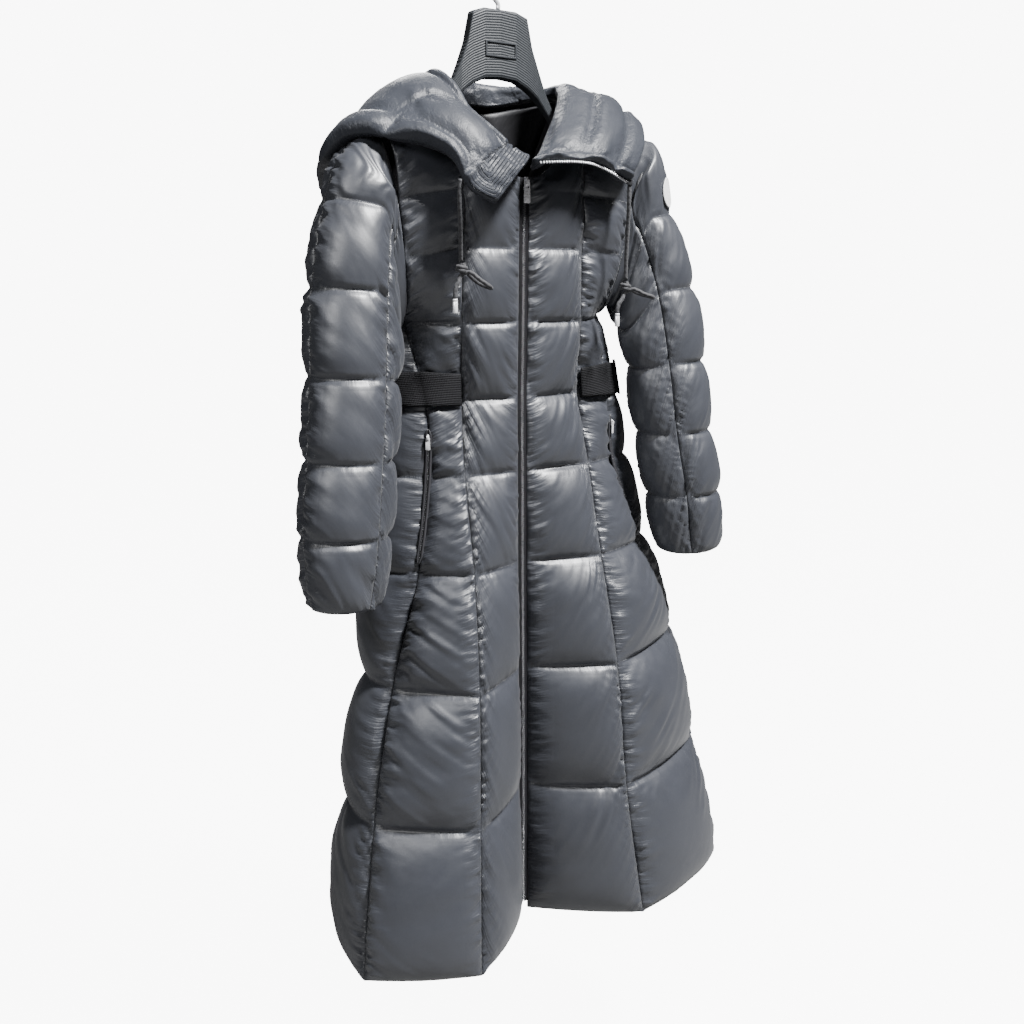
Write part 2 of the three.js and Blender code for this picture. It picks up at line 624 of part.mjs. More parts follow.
const SLIDER_ROW = 0.62;
const SLIDER_OUT = 2.8;
const sliderSeat = alongPoints(SEAMS[1].zip, SLIDER_ROW);
sliderSeat.setX(ZIP_X).setY(sliderSeat.y - SLIDER_OUT);
addPull(['zip_slider', 'zip_pull'], sliderSeat, vec(0, -1, 0), 1);

// A stand pocket in each side seam: a narrow welt over the seam with a zip pull at its top.
const POCKET = { from: 4.38, to: 5.9, half: 5, back: 5, front: 7.4, steps: 8 };
const POCKET_PULL = { row: 4.5, scale: 0.62 };

function pocketPoint(sign, t, across, out) {
  const normal = seamNormal(sign, 'frontEdge', t);
  const side = vec(-normal.y, normal.x, 0).normalize();
  return edgePoint(sign, t, true).addScaledVector(normal, out).addScaledVector(side, across);
}

for (const { name, sign } of SIDES) {
  const sections = [];
  for (let i = 0; i <= POCKET.steps; i += 1) {
    const t = mix(POCKET.from, POCKET.to, i / POCKET.steps);
    sections.push([
      pocketPoint(sign, t, -POCKET.half, POCKET.back), pocketPoint(sign, t, POCKET.half, POCKET.back),
      pocketPoint(sign, t, POCKET.half, POCKET.front), pocketPoint(sign, t, -POCKET.half, POCKET.front),
    ]);
  }
  addMesh(`pocket_${name}`, loftGeometry(sections), webbing);
  const normal = seamNormal(sign, 'frontEdge', POCKET_PULL.row).setZ(0).normalize();
  const at = pocketPoint(sign, POCKET_PULL.row, 0, POCKET.front + 0.9);
  addPull([`pocket_slider_${name}`, `pocket_pull_${name}`], at, normal, POCKET_PULL.scale);
}

// The waist belt: webbing from each princess seam round to the centre back, and its loops.
const BELT = { top: 3.66, low: 4.08, lift: 2.9, thick: 2.4, steps: 6 };
const BELT_LOOP = { from: 0.2, to: 0.3, thick: 1.6, clear: 0.9, over: 4 };

function beltLine(sign, panel, u, out) {
  const levels = [BELT.top, mix(BELT.top, BELT.low, 0.5), BELT.low];
  const reach = Math.max(...levels.map((t) => {
    const { p, width } = panelBase(panel, sign, u, t);
    return panelPuff(panel, u, t, p.z, width);
  }));
  return [BELT.top, BELT.low].map((t) => {
    const { p, normal } = panelBase(panel, sign, u, t);
    return p.addScaledVector(normal, CLOTH_OUT + reach + BELT.lift + out);
  });
}

function beltSection(sign, panel, u, inner, outer, over) {
  const [topIn, lowIn] = beltLine(sign, panel, u, inner);
  const [topOut, lowOut] = beltLine(sign, panel, u, outer);
  for (const p of [topIn, topOut]) p.z += over;
  for (const p of [lowIn, lowOut]) p.z -= over;
  return [topIn, lowIn, lowOut, topOut];
}

for (const { name, sign } of SIDES) {
  const sections = [];
  for (const panel of PANELS.slice(1)) {
    for (let i = 0; i < BELT.steps; i += 1) {
      const u = mix(0.03, 0.985, i / (BELT.steps - 1));
      sections.push(beltSection(sign, panel, u, 0, BELT.thick, 0));
    }
  }
  addMesh(`belt_${name}`, loftGeometry(sections), webbing);
  const panel = PANELS[2];
  const loop = [BELT_LOOP.from, mix(BELT_LOOP.from, BELT_LOOP.to, 0.5), BELT_LOOP.to].map((u) => (
    beltSection(sign, panel, u, BELT.thick + BELT_LOOP.clear, BELT.thick + BELT_LOOP.clear + BELT_LOOP.thick, BELT_LOOP.over)));
  addMesh(`belt_loop_${name}`, loftGeometry(loop), webbing);
}

// The hood's drawstring: it drops from the rim on each side, is tied in a half bow, and ends
// in a metal tip.
const CORD_RADIUS = 2.75;
const CORD_SIDES = 8;
const CORD = {
  right: {
    drop: [[-120.1, -108.6, -290.2], [-121, -107, -312], [-117, -101, -335], [-111, -91, -362],
      [-107, -84, -388]],
    bow: [[-98, -80.4, -399.7], [-88, -78, -408], [-76, -79, -416], [-68, -90, -421], [-74, -102, -420],
      [-88, -100, -411], [-98.6, -91, -401.5]],
    tail: [[-107.8, -84.9, -405.4], [-112, -86, -414], [-116, -86, -422], [-117, -86, -428], [-117, -86, -434]],
    knot: [-106, -84, -397],
  },
  left: {
    drop: [[149.8, -98.2, -280.9], [150, -98, -306], [153, -93, -335], [156, -87, -375], [158, -84, -411]],
    bow: [[166.4, -82.3, -422.5], [178, -80, -427], [190, -82, -431], [197, -93, -434], [191, -105, -434],
      [178, -102, -430], [165.4, -91.6, -423.4]],
    tail: [[156, -85, -429], [151, -86, -437], [145, -86, -444], [143, -86, -450], [143, -86, -456]],
    knot: [158, -84, -420],
  },
};
const TIP = { radius: 3.3, long: 19, gap: 0.5 };
const KNOT_RADIUS = 8.6;

function tubeGeometry(route, radius) {
  const path = new THREE.CatmullRomCurve3(route.map((p) => vec(...p)), false, 'centripetal');
  const section = new THREE.Shape();
  section.absarc(0, 0, radius, 0, 2 * Math.PI, false);
  const steps = Math.max(4, Math.round(path.getLength() / (5 * radius)));
  return new THREE.ExtrudeGeometry(section, {
    steps, curveSegments: CORD_SIDES, bevelEnabled: false, extrudePath: path,
  });
}

function lathe(profile, segments) {
  const points = profile.map(([r, z]) => new THREE.Vector2(r, z));
  return new THREE.LatheGeometry(points, segments).rotateX(Math.PI / 2);
}

for (const { name } of SIDES) {
  const cord = CORD[name];
  for (const stretch of ['drop', 'bow', 'tail']) {
    addMesh(`cord_${stretch}_${name}`, tubeGeometry(cord[stretch], CORD_RADIUS), cordCloth);
  }
  const r = KNOT_RADIUS;
  const knot = lathe([[0, -r], [r * 0.7, -r * 0.7], [r, 0], [r * 0.7, r * 0.7], [0, r]], 10);
  addMesh(`cord_knot_${name}`, knot, cordCloth).position.set(...cord.knot);
  const tip = lathe([[0, -TIP.long], [TIP.radius, -TIP.long], [TIP.radius, -TIP.gap], [0, -TIP.gap]], 10);
  addMesh(`cord_tip_${name}`, tip, metal).position.set(...cord.tail.at(-1));
}

// A plain round badge on the left upper sleeve.
const BADGE = { radius: 18, row: 1.7, angle: -36, thick: 1.6, rings: 3, points: 16 };
const BADGE_ROW_MM = 88;

function badgePoint(radius, turn, lift) {
  const across = radius * Math.cos(turn);
  const up = radius * Math.sin(turn);
  const t = BADGE.row - up / BADGE_ROW_MM;
  const angle = BADGE.angle + THREE.MathUtils.radToDeg(across / 62);
  const u = (angle - 30) / -120;
  const p = sleeveOuter(1, t, angle, u);
  return p.addScaledVector(sleeveNormal(1, t, angle), lift);
}

function badgeGeometry() {
  const points = [];
  const faces = [];
  const rows = [];
  const lifts = [];
  const step = BADGE.radius / BADGE.rings;
  for (let i = 1; i <= BADGE.rings; i += 1) lifts.push([step * i, 0.5 + BADGE.thick]);
  for (let i = BADGE.rings; i >= 1; i -= 1) lifts.push([step * i, 0.5]);
  const top = points.push(badgePoint(0, 0, 0.5 + BADGE.thick)) - 1;
  for (const [radius, lift] of lifts) {
    const row = [];
    for (let j = 0; j < BADGE.points; j += 1) {
      row.push(points.push(badgePoint(radius, 2 * Math.PI * j / BADGE.points, lift)) - 1);
    }
    rows.push(row);
  }
  const under = points.push(badgePoint(0, 0, 0.5)) - 1;
  for (let j = 0; j < BADGE.points; j += 1) {
    const k = (j + 1) % BADGE.points;
    faces.push([top, rows[0][j], rows[0][k]]);
    for (let i = 0; i + 1 < rows.length; i += 1) {
      const [a, b, c, d] = [rows[i][j], rows[i + 1][j], rows[i + 1][k], rows[i][k]];
      faces.push([a, b, c], [a, c, d]);
    }
    faces.push([rows[rows.length - 1][j], under, rows[rows.length - 1][k]]);
  }
  return closedGeometry(points, faces);
}
addMesh('sleeve_badge', badgeGeometry(), white);

// The hanger: a flat moulded neck that widens into two arms, a raised blank frame, and a hook.
const HANGER = [
  { x: 0, top: -62, low: -148, half: 8 },
  { x: 24, top: -62, low: -150, half: 8 },
  { x: 42, top: -68, low: -158, half: 8 },
  { x: 50, top: -104, low: -163, half: 8 },
  { x: 60, top: -130, low: -171, half: 8 },
  { x: 74, top: -161, low: -186, half: 6 },
  { x: 92, top: -193.5, low: -207, half: 6 },
  { x: 120, top: -194, low: -210, half: 7 },
  { x: 150, top: -213, low: -229, half: 6 },
  { x: 164, top: -223, low: -235, half: 5 },
];

function hangerSection(row, sign) {
  const edge = Math.min(4, row.half * 0.6);
  const inset = Math.min(2.5, (row.top - row.low) / 5);
  return [
    [-row.half + edge, row.top], [row.half - edge, row.top],
    [row.half, row.top - inset], [row.half, row.low + inset],
    [row.half - edge, row.low], [-row.half + edge, row.low],
    [-row.half, row.low + inset], [-row.half, row.top - inset],
  ].map(([y, z]) => vec(sign * row.x, y, z));
}
const hangerSections = [
  ...HANGER.slice(1).reverse().map((row) => hangerSection(row, -1)),
  ...HANGER.map((row) => hangerSection(row, 1)),
];
addMesh('hanger', loftGeometry(hangerSections), plastic);

const FRAME = { wide: 48, tall: 20, bar: 2.4, z: -112, thick: 1.2 };
function hangerFrame() {
  const corners = (bar) => {
    const [w, h] = [FRAME.wide / 2 - bar, FRAME.tall / 2 - bar];
    return [[-w, -h], [w, -h], [w, h], [-w, h]].map(([x, y]) => new THREE.Vector2(x, y));
  };
  const shape = new THREE.Shape(corners(0));
  shape.holes.push(new THREE.Path(corners(FRAME.bar)));
  const options = { depth: FRAME.thick, bevelEnabled: false };
  return new THREE.ExtrudeGeometry(shape, options).rotateX(Math.PI / 2);
}
addMesh('hanger_frame', hangerFrame(), plastic).position.set(0, -8.3, FRAME.z);

const HOOK = { radius: 25, wire: 3, foot: -61.7, stem: -54, end: -35 };
const hookRoute = [[0, 0, HOOK.foot], [0, 0, HOOK.stem]];
for (let angle = 235; angle >= HOOK.end; angle -= 15) {
  const turn = radians(angle);
  const [across, up] = [HOOK.radius * Math.cos(turn), HOOK.radius * Math.sin(turn)];
  hookRoute.push([across, 0, HOOK.wire - HOOK.radius + up]);
}
addMesh('hanger_hook', tubeGeometry(hookRoute, HOOK.wire), metal);

export default coat;
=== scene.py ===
import math
import bpy
import numpy as np
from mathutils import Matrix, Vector


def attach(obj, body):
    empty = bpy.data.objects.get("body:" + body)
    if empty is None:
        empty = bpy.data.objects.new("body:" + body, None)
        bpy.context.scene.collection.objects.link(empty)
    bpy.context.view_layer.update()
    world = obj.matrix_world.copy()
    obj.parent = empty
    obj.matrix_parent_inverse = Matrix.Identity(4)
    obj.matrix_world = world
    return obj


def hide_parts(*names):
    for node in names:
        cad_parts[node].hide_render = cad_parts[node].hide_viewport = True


# A long hooded puffer coat on its hanger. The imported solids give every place.
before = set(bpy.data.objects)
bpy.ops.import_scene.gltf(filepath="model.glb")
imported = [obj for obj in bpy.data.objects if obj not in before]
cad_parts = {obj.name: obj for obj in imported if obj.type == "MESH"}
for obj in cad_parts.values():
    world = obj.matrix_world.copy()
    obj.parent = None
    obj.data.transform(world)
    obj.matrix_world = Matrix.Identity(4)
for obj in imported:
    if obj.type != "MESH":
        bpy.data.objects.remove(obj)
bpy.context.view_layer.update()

# The camera stands in front of the coat and to its right, and looks a little down.
bpy.ops.object.select_all(action="DESELECT")
bpy.ops.object.camera_add(
    location=(-0.779, -1.282, -0.415), rotation=(math.radians(77.7), 0, math.radians(-32))
)
camera = bpy.context.object
camera.data.lens = 36.91
camera.data.sensor_width = 36
camera.data.clip_end = 50
bpy.context.scene.camera = camera


# Soft studio light: a strong lamp high in front, and weak ones on the left and behind.
def add_lamp(name, place, aim, size, watts):
    turn = (Vector(aim) - Vector(place)).to_track_quat("-Z", "Y").to_euler()
    bpy.ops.object.light_add(type="AREA", location=place, rotation=turn)
    lamp = bpy.context.object
    lamp.name = name
    lamp.data.shape = "DISK"
    lamp.data.size = size
    lamp.data.energy = watts


add_lamp("key_lamp", (1.1, -2.3, 3.4), (0, 0, -0.8), 0.8, 1150)
add_lamp("left_lamp", (-2.6, -1.2, 1.2), (0, 0, -0.9), 1.0, 55)
add_lamp("back_lamp", (0.8, 2.0, 1.6), (0, 0, -0.6), 1.0, 60)

# The room is dim where it lights the coat, and white where the camera sees it.
ROOM_LIGHT, ROOM_SEEN = 0.035, 9.0
world = bpy.data.worlds.new("studio")
bpy.context.scene.world = world
world.use_nodes = True
room = world.node_tree
seen = room.nodes.new("ShaderNodeLightPath")
glow = room.nodes.new("ShaderNodeMapRange")
glow.inputs["To Min"].default_value = ROOM_LIGHT
glow.inputs["To Max"].default_value = ROOM_SEEN
room.links.new(seen.outputs["Is Camera Ray"], glow.inputs["Value"])
room.links.new(glow.outputs["Result"], room.nodes["Background"].inputs["Strength"])
room.nodes["Background"].inputs["Color"].default_value = (1, 1, 1, 1)


# The floor is plain and pale, well below the hem. Its paint, like every finish here, is one
# shader and the patterns that drive its colour, roughness and bump.
class Finish:
    def __init__(self, name, roughness, metallic=0.0):
        self.material = bpy.data.materials.new(name)
        self.material.use_nodes = True
        self.tree = self.material.node_tree
        self.shader = self.tree.nodes["Principled BSDF"]
        self.set(Roughness=roughness, Metallic=metallic)
        self.relief = None

    def set(self, **values):
        """One value for each of the shader's own sockets, with _ for the blanks in its name."""
        for name, value in values.items():
            self.shader.inputs[name.replace("_", " ")].default_value = value

    def drive(self, socket, pattern):
        self.tree.links.new(pattern, self.shader.inputs[socket])

    def node(self, kind, entries, **settings):
        """A node, each of its entries a value or the output of another node."""
        made = self.tree.nodes.new(kind)
        for key, value in settings.items():
            setattr(made, key, value)
        for key, value in entries.items():
            if isinstance(value, bpy.types.NodeSocket):
                self.tree.links.new(value, made.inputs[key])
            else:
                made.inputs[key].default_value = value
        return made

    def place(self, source, scale):
        """Object or UV coordinates, stretched by one scale or by one for each axis."""
        scale = scale if isinstance(scale, tuple) else (scale,) * 3
        start = self.node("ShaderNodeTexCoord", {}).outputs[source]
        return self.node("ShaderNodeMapping", {"Vector": start, "Scale": scale}).outputs["Vector"]

    def noise(self, source, scale, detail=3.0, rough=0.5):
        entries = {"Scale": 1.0, "Detail": detail, "Roughness": rough}
        entries["Vector"] = self.place(source, scale)
        return self.node("ShaderNodeTexNoise", entries).outputs["Fac"]

    def wave(self, source, scale, axis="X"):
        entries = {"Scale": 1.0, "Vector": self.place(source, scale)}
        return self.node("ShaderNodeTexWave", entries, bands_direction=axis).outputs["Fac"]

    def math(self, operation, a, b):
        return self.node("ShaderNodeMath", {0: a, 1: b}, operation=operation).outputs[0]

    def ramp(self, value, low, high, start=0.0, end=1.0):
        entries = {"From Min": low, "From Max": high, "To Min": start, "To Max": end}
        entries["Value"] = value
        return self.node("ShaderNodeMapRange", entries).outputs["Result"]

    def attribute(self, name):
        return self.node("ShaderNodeAttribute", {}, attribute_name=name).outputs["Fac"]

    def bump(self, height, distance, strength=1.0):
        """Relief on top of the relief that is already there."""
        entries = {"Distance": distance, "Strength": strength, "Height": height}
        if self.relief:
            entries["Normal"] = self.relief
        self.relief = self.node("ShaderNodeBump", entries).outputs["Normal"]
        self.drive("Normal", self.relief)

    def tint(self, pattern, dark, light):
        entries = {"A": (*dark, 1), "B": (*light, 1), "Factor": pattern}
        mix = self.node("ShaderNodeMix", entries, data_type="RGBA")
        self.drive("Base Color", mix.outputs["Result"])

    def wear(self, source, scale, low, high, detail=3.0, edges=(0.3, 0.7)):
        """Roughness that drifts between two values in soft spots."""
        spots = self.noise(source, scale, detail)
        self.drive("Roughness", self.ramp(spots, *edges, low, high))


FLOOR_SIZE, FLOOR_HEIGHT = 60, -1.75
bpy.ops.object.select_all(action="DESELECT")
bpy.ops.mesh.primitive_plane_add(size=FLOOR_SIZE, location=(0, 0, FLOOR_HEIGHT))
floor = bpy.context.object
floor.name = "floor"
floor_paint = Finish("floor_paint", 0.85)
floor_paint.tint(floor_paint.noise("Object", 2), (0.16, 0.16, 0.16), (0.18, 0.18, 0.18))
seen = floor_paint.node("ShaderNodeLightPath", {}).outputs["Is Camera Ray"]
floor_paint.set(Emission_Color=(1, 1, 1, 1))
floor_paint.drive("Emission Strength", floor_paint.math("MULTIPLY", seen, ROOM_SEEN))
floor.data.materials.append(floor_paint.material)


# The drawstring is a round braided cord, 5.5 mm thick. On each side it drops from the hood's
# rim, is tied in a half bow, and ends in a metal tip.
MM = 0.001


def smooth_line(points, steps):
    """Points on a centripetal curve through the given ones."""
    p = np.array(points, float)
    p = np.vstack([2 * p[0] - p[1], p, 2 * p[-1] - p[-2]])
    out = []
    for i in range(1, len(p) - 2):
        a, b, c, d = p[i - 1], p[i], p[i + 1], p[i + 2]
        t1 = np.linalg.norm(b - a) ** 0.5
        t2 = t1 + np.linalg.norm(c - b) ** 0.5
        t3 = t2 + np.linalg.norm(d - c) ** 0.5
        for t in np.linspace(t1, t2, steps, endpoint=False):
            ab = (t1 - t) / t1 * a + t / t1 * b
            bc = (t2 - t) / (t2 - t1) * b + (t - t1) / (t2 - t1) * c
            cd = (t3 - t) / (t3 - t2) * c + (t - t2) / (t3 - t2) * d
            abc = (t2 - t) / t2 * ab + t / t2 * bc
            bcd = (t3 - t) / (t3 - t1) * bc + (t - t1) / (t3 - t1) * cd
            out.append((t2 - t) / (t2 - t1) * abc + (t - t1) / (t2 - t1) * bcd)
    out.append(p[-2])
    return np.array(out)


def mesh_piece(name, points, faces, finish, uvs=None, slots=None, values=None):
    """A piece of the object from points in metres. uvs and values have one entry a point."""
    mesh = bpy.data.meshes.new(name)
    mesh.from_pydata([tuple(p) for p in points], [], faces)
    for one in finish if isinstance(finish, list) else [finish]:
        mesh.materials.append(one.material)
    if uvs is not None:
        layer = mesh.uv_layers.new(name="cloth")
        corner = np.empty(len(mesh.loops), int)
        mesh.loops.foreach_get("vertex_index", corner)
        layer.data.foreach_set("uv", np.asarray(uvs, float)[corner].ravel())
    for key, value in (values or {}).items():
        layer = mesh.attributes.new(key, "FLOAT", "POINT")
        layer.data.foreach_set("value", np.asarray(value, float))
    if slots is not None:
        mesh.polygons.foreach_set("material_index", slots)
    mesh.polygons.foreach_set("use_smooth", [True] * len(mesh.polygons))
    mesh.update()
    piece = bpy.data.objects.new(name, mesh)
    bpy.context.collection.objects.link(piece)
    return piece


def fitted(piece, slot, *nodes, body="coat"):
    """The piece rides on its body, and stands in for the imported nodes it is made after."""
    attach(piece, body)
    if nodes:
        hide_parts(*nodes)
    return piece


def reach_of(line):
    """The length of a line up to each of its points."""
    return np.concatenate([[0], np.cumsum(np.linalg.norm(np.diff(line, axis=0), axis=1))])


def lofted(rings):
    """Points and faces of a closed bar through rings of as many points each."""
    size = len(rings[0])
    faces = []
    for i in range(len(rings) - 1):
        for j in range(size):
            k = (j + 1) % size
            faces.append((i * size + j, i * size + k, (i + 1) * size + k, (i + 1) * size + j))
    faces.append(tuple(range(size))[::-1])
    faces.append(tuple(range((len(rings) - 1) * size, len(rings) * size)))
    return np.concatenate(np.asarray(rings, float)), faces


def tube(name, line, radius, finish, sides=16):
    """A closed round tube along a line, its pattern laid out in metres along and round it."""
    line = np.asarray(line, float)
    along_line = np.gradient(line, axis=0)
    along_line /= np.linalg.norm(along_line, axis=1)[:, None]
    reach = reach_of(line)
    side = np.cross(along_line[0], [0.31, 0.2, 0.93])
    rings, uvs = [], []
    for i, p in enumerate(line):
        side = side - along_line[i] * np.dot(side, along_line[i])
        side /= np.linalg.norm(side)
        over = np.cross(along_line[i], side)
        turns = 2 * math.pi * np.arange(sides)[:, None] / sides
        rings.append(p + radius * (np.cos(turns) * side + np.sin(turns) * over))
        uvs += [(reach[i], radius * turn) for turn in turns[:, 0]]
    return mesh_piece(name, *lofted(rings), finish, uvs)


cord_braid = Finish("cord_braid", 0.72)
braid_a = cord_braid.wave("UV", (75, 75, 1), "DIAGONAL")
braid_b = cord_braid.wave("UV", (75, -75, 1), "DIAGONAL")
braid = cord_braid.math("MAXIMUM", braid_a, braid_b)
cord_braid.bump(braid, 0.0004, 0.7)
cord_braid.tint(braid, (0.012, 0.012, 0.014), (0.028, 0.028, 0.032))
cord_braid.set(Sheen_Weight=0.12)
# The cord tips and hook: their near-white colour is partly the nickel's own and partly painted
# reflection. With little metallic it reads light grey, as if it mirrored a bright room.
nickel_and_painted_reflection = Finish("nickel_and_painted_reflection", 0.26, 0.4)
nickel_and_painted_reflection.set(Base_Color=(0.88, 0.88, 0.9, 1))
nickel_and_painted_reflection.wear("Object", 700, 0.16, 0.34)

CORD_RADIUS = 2.75
KNOT_RADIUS, KNOT_WIDE, KNOT_HALF, KNOT_TURNS = 2.9, 5.2, 4.6, 2.15
CORDS = {
    "right": {
        "drop": [
            (-120.1, -108.6, -290.2), (-121, -107, -312), (-117, -101, -335), (-111, -91, -362),
            (-107, -84, -388),
        ],
        "bow": [
            (-98, -80.4, -399.7), (-88, -78, -408), (-76, -79, -416), (-68, -90, -421),
            (-74, -102, -420), (-88, -100, -411), (-98.6, -91, -401.5),
        ],
        "tail": [
            (-107.8, -84.9, -405.4), (-112, -86, -414), (-116, -86, -422), (-117, -86, -428),
            (-117, -86, -434),
        ],
        "knot": (-106, -84, -397),
    },
    "left": {
        "drop": [
            (149.8, -98.2, -280.9), (150, -98, -306), (153, -93, -335), (156, -87, -375),
            (158, -84, -411),
        ],
        "bow": [
            (166.4, -82.3, -422.5), (178, -80, -427), (190, -82, -431), (197, -93, -434),
            (191, -105, -434), (178, -102, -430), (165.4, -91.6, -423.4),
        ],
        "tail": [
            (156, -85, -429), (151, -86, -437), (145, -86, -444), (143, -86, -450),
            (143, -86, -456),
        ],
        "knot": (158, -84, -420),
    },
}


def spun(name, profile, place, finish, sides=24):
    """A turned piece about an upright axis: radius and height in millimetres, top first."""
    turns = 2 * math.pi * np.arange(sides) / sides
    points, faces = lofted([
        np.stack([radius * np.cos(turns), radius * np.sin(turns), height + 0 * turns], -1)
        for radius, height in profile
    ])
    return mesh_piece(name, (points + place) * MM, [face[::-1] for face in faces], finish)


TIP_PROFILE = [
    (2.0, -0.5), (3.0, -0.8), (3.3, -1.6), (3.3, -3.2), (2.9, -3.6), (2.9, -4.2), (3.3, -4.6),
    (3.3, -17.6), (3.0, -18.6), (2.0, -19),
]
for side, cord in CORDS.items():
    knot_place = np.array(cord["knot"])
    winds = []
    for k in np.linspace(1, -1, 37):
        turn = math.pi * KNOT_TURNS * (1 - k)
        wide = KNOT_WIDE * (1 - 0.25 * k ** 2)
        winds.append(knot_place + [wide * math.cos(turn), wide * math.sin(turn), KNOT_HALF * k])
    knot = tube(f"knot_{side}", np.array(winds) * MM, KNOT_RADIUS * MM, cord_braid, 12)
    fitted(knot, "cord", f"cord_knot_{side}")
    tip = spun(f"cord_end_{side}", TIP_PROFILE, cord["tail"][-1], nickel_and_painted_reflection)
    fitted(tip, "metal", f"cord_tip_{side}")
    for name, points, nodes, far_end, pieces in (
        ("drop", cord["drop"], ["drop"], "knot", [knot]),
        ("end", cord["bow"] + cord["tail"], ["bow", "tail"], "fitting", [tip]),
    ):
        line = smooth_line(points, 8) * MM
        piece = tube(f"drawstring_{name}_{side}", line, CORD_RADIUS * MM, cord_braid)
        fitted(piece, "cord", *[f"cord_{node}_{side}" for node in nodes])

# The shell is sewn from long panels of thin nylon, quilted across into cells of down. Each
# panel's seams are sizes in millimetres, and the filling swells the cloth between them.
ZIP_X = 3.0
ZIP_HALF = 7.0
SEAM_GAP = 0.4
CLOTH_OUT = 1.0
CLOTH_IN = 2.0
SIDES = {"right": -1, "left": 1}

SLEEVE = {
    "x": [178, 196, 216, 243, 255, 266, 280, 289],
    "y": [0, -8, -20, -36, -50, -62, -72, -78],
    "z": [-340, -266, -323, -424, -530, -633, -728, -818],
    "tilt": [84, 46, 10, 4, 2, 2, 2, 2],
    "wide": [118, 60, 52, 54, 54, 54, 54, 42],
    "deep": [48, 49, 47, 48, 49, 49, 48, 37],
    "drop": [0, 138, 134, 56, 8, 0, 0, 0],
    "fall": [2, 1.5, 2.5, 3, 3, 3, 3, 3],
    "lag": [46, 4, 0, 0, 0, 0, 0, 0],
    "push": [0, 26, 17, 0, 0, 0, 0, 0],
    "sway": [6, 6, 6, 8, 8, 6, 7, 9],
    "sink": [8, 36, 0, 0, 0, 0, 0, 0],
}
SLEEVE_SEAMS = [0, 2, 3, 4, 5, 6, 7]
SLEEVE_PUFF = [11, 12, 12, 12, 11, 12]
SLEEVE_PANELS = {"front": (30, -90), "back": (-90, -210), "under": (150, 30)}


def curved(a, b, c, d, k):
    """From b to c, on the smooth curve that also passes through a and d."""
    k2, k3 = k * k, k * k * k
    return (
        (2 * k3 - 3 * k2 + 1) * b + (k3 - 2 * k2 + k) * (c - a) / 2
        + (3 * k2 - 2 * k3) * c + (k3 - k2) * (d - b) / 2
    )


def along(values, t):
    """A value between the rows of a table, on a smooth curve through them."""
    values = np.asarray(values, float)
    t = np.asarray(t, float)
    last = len(values) - 1
    i = np.clip(np.floor(t).astype(int), 0, last - 1)
    k = t - i
    if values.ndim > 1:
        k = k[..., None]
    return curved(*(values[np.clip(i + n, 0, last)] for n in (-1, 0, 1, 2)), k)


def unit(v):
    return v / np.maximum(np.linalg.norm(v, axis=-1, keepdims=True), 1e-9)


def point(x, y, z):
    return np.stack(np.broadcast_arrays(x, y, z), -1).astype(float)


def clamp01(k):
    return np.clip(k, 0, 1)


def ease(k):
    return k * k * (3 - 2 * k)


def swell(k):
    """How far the filling lifts the cloth from one seam, 0, to the next, 1."""
    return (1 - np.abs(2 * clamp01(k) - 1) ** 2.6) ** 0.75


def ring_point(sign, t, angle):
    """A point round the sleeve: -90 degrees is its outer side, 90 is its underarm."""
    tilt = np.radians(along(SLEEVE["tilt"], t))
    sine = np.sin(np.radians(angle))
    across = -sine * along(SLEEVE["wide"], t)
    armpit = np.maximum(0, sine)
    sink = along(SLEEVE["sink"], t) if sign < 0 else 0
    return point(
        sign * (along(SLEEVE["x"], t) + across * np.cos(tilt) + along(SLEEVE["push"], t) * armpit)
        + along(SLEEVE["sway"], t),
        along(SLEEVE["y"], t) - np.cos(np.radians(angle)) * along(SLEEVE["deep"], t),
        along(SLEEVE["z"], t) + across * np.sin(tilt)
        - along(SLEEVE["drop"], t) * armpit ** along(SLEEVE["fall"], t) - sink,
    )


def lagged(t, angle):
    """The sleeve's top seams start nearer the armpit than they run further down."""
    behind = np.cos(np.radians(angle)) < 0
    turned = np.where(angle < -90, angle + 360, angle)
    front = np.where(behind, 180 - turned, angle)
    reach = np.where(front < 30, 115.0, 60.0)
    lag = along(SLEEVE["lag"], t) * np.maximum(0, 1 - ((front - 30) / reach) ** 2)
    return np.where(behind, 180 - front + lag, front - lag)


def ring_normal(sign, t, angle):
    tilt = np.radians(along(SLEEVE["tilt"], t))
    across = -np.sin(np.radians(angle)) / along(SLEEVE["wide"], t)
    ahead = -np.cos(np.radians(angle)) / along(SLEEVE["deep"], t)
    return unit(point(sign * across * np.cos(tilt), ahead, across * np.sin(tilt)))


def cell_of(rows, t):
    """The number of the quilted cell at a place, and how far down that cell it lies."""
    cell = np.clip(np.searchsorted(rows, t, side="right") - 1, 0, len(rows) - 2)
    rows = np.asarray(rows, float)
    return cell, clamp01((t - rows[cell]) / (rows[cell + 1] - rows[cell]))


def sleeve_base(sign, t, angle):
    """The sleeve without its filling, and which way is out."""
    turned = lagged(t, angle)
    return ring_point(sign, t, turned), ring_normal(sign, t, turned)


def sleeve_puff(t, angle, across):
    cell, k = cell_of(SLEEVE_SEAMS, t)
    armpit = ease(clamp01(np.where(angle > -90, (angle + 10) / 60, (-130 - angle) / 60)))
    slack = 1 - 0.85 * armpit * clamp01((3.5 - t) / 2)
    return np.array(SLEEVE_PUFF)[cell] * swell(k) * swell(across) * slack


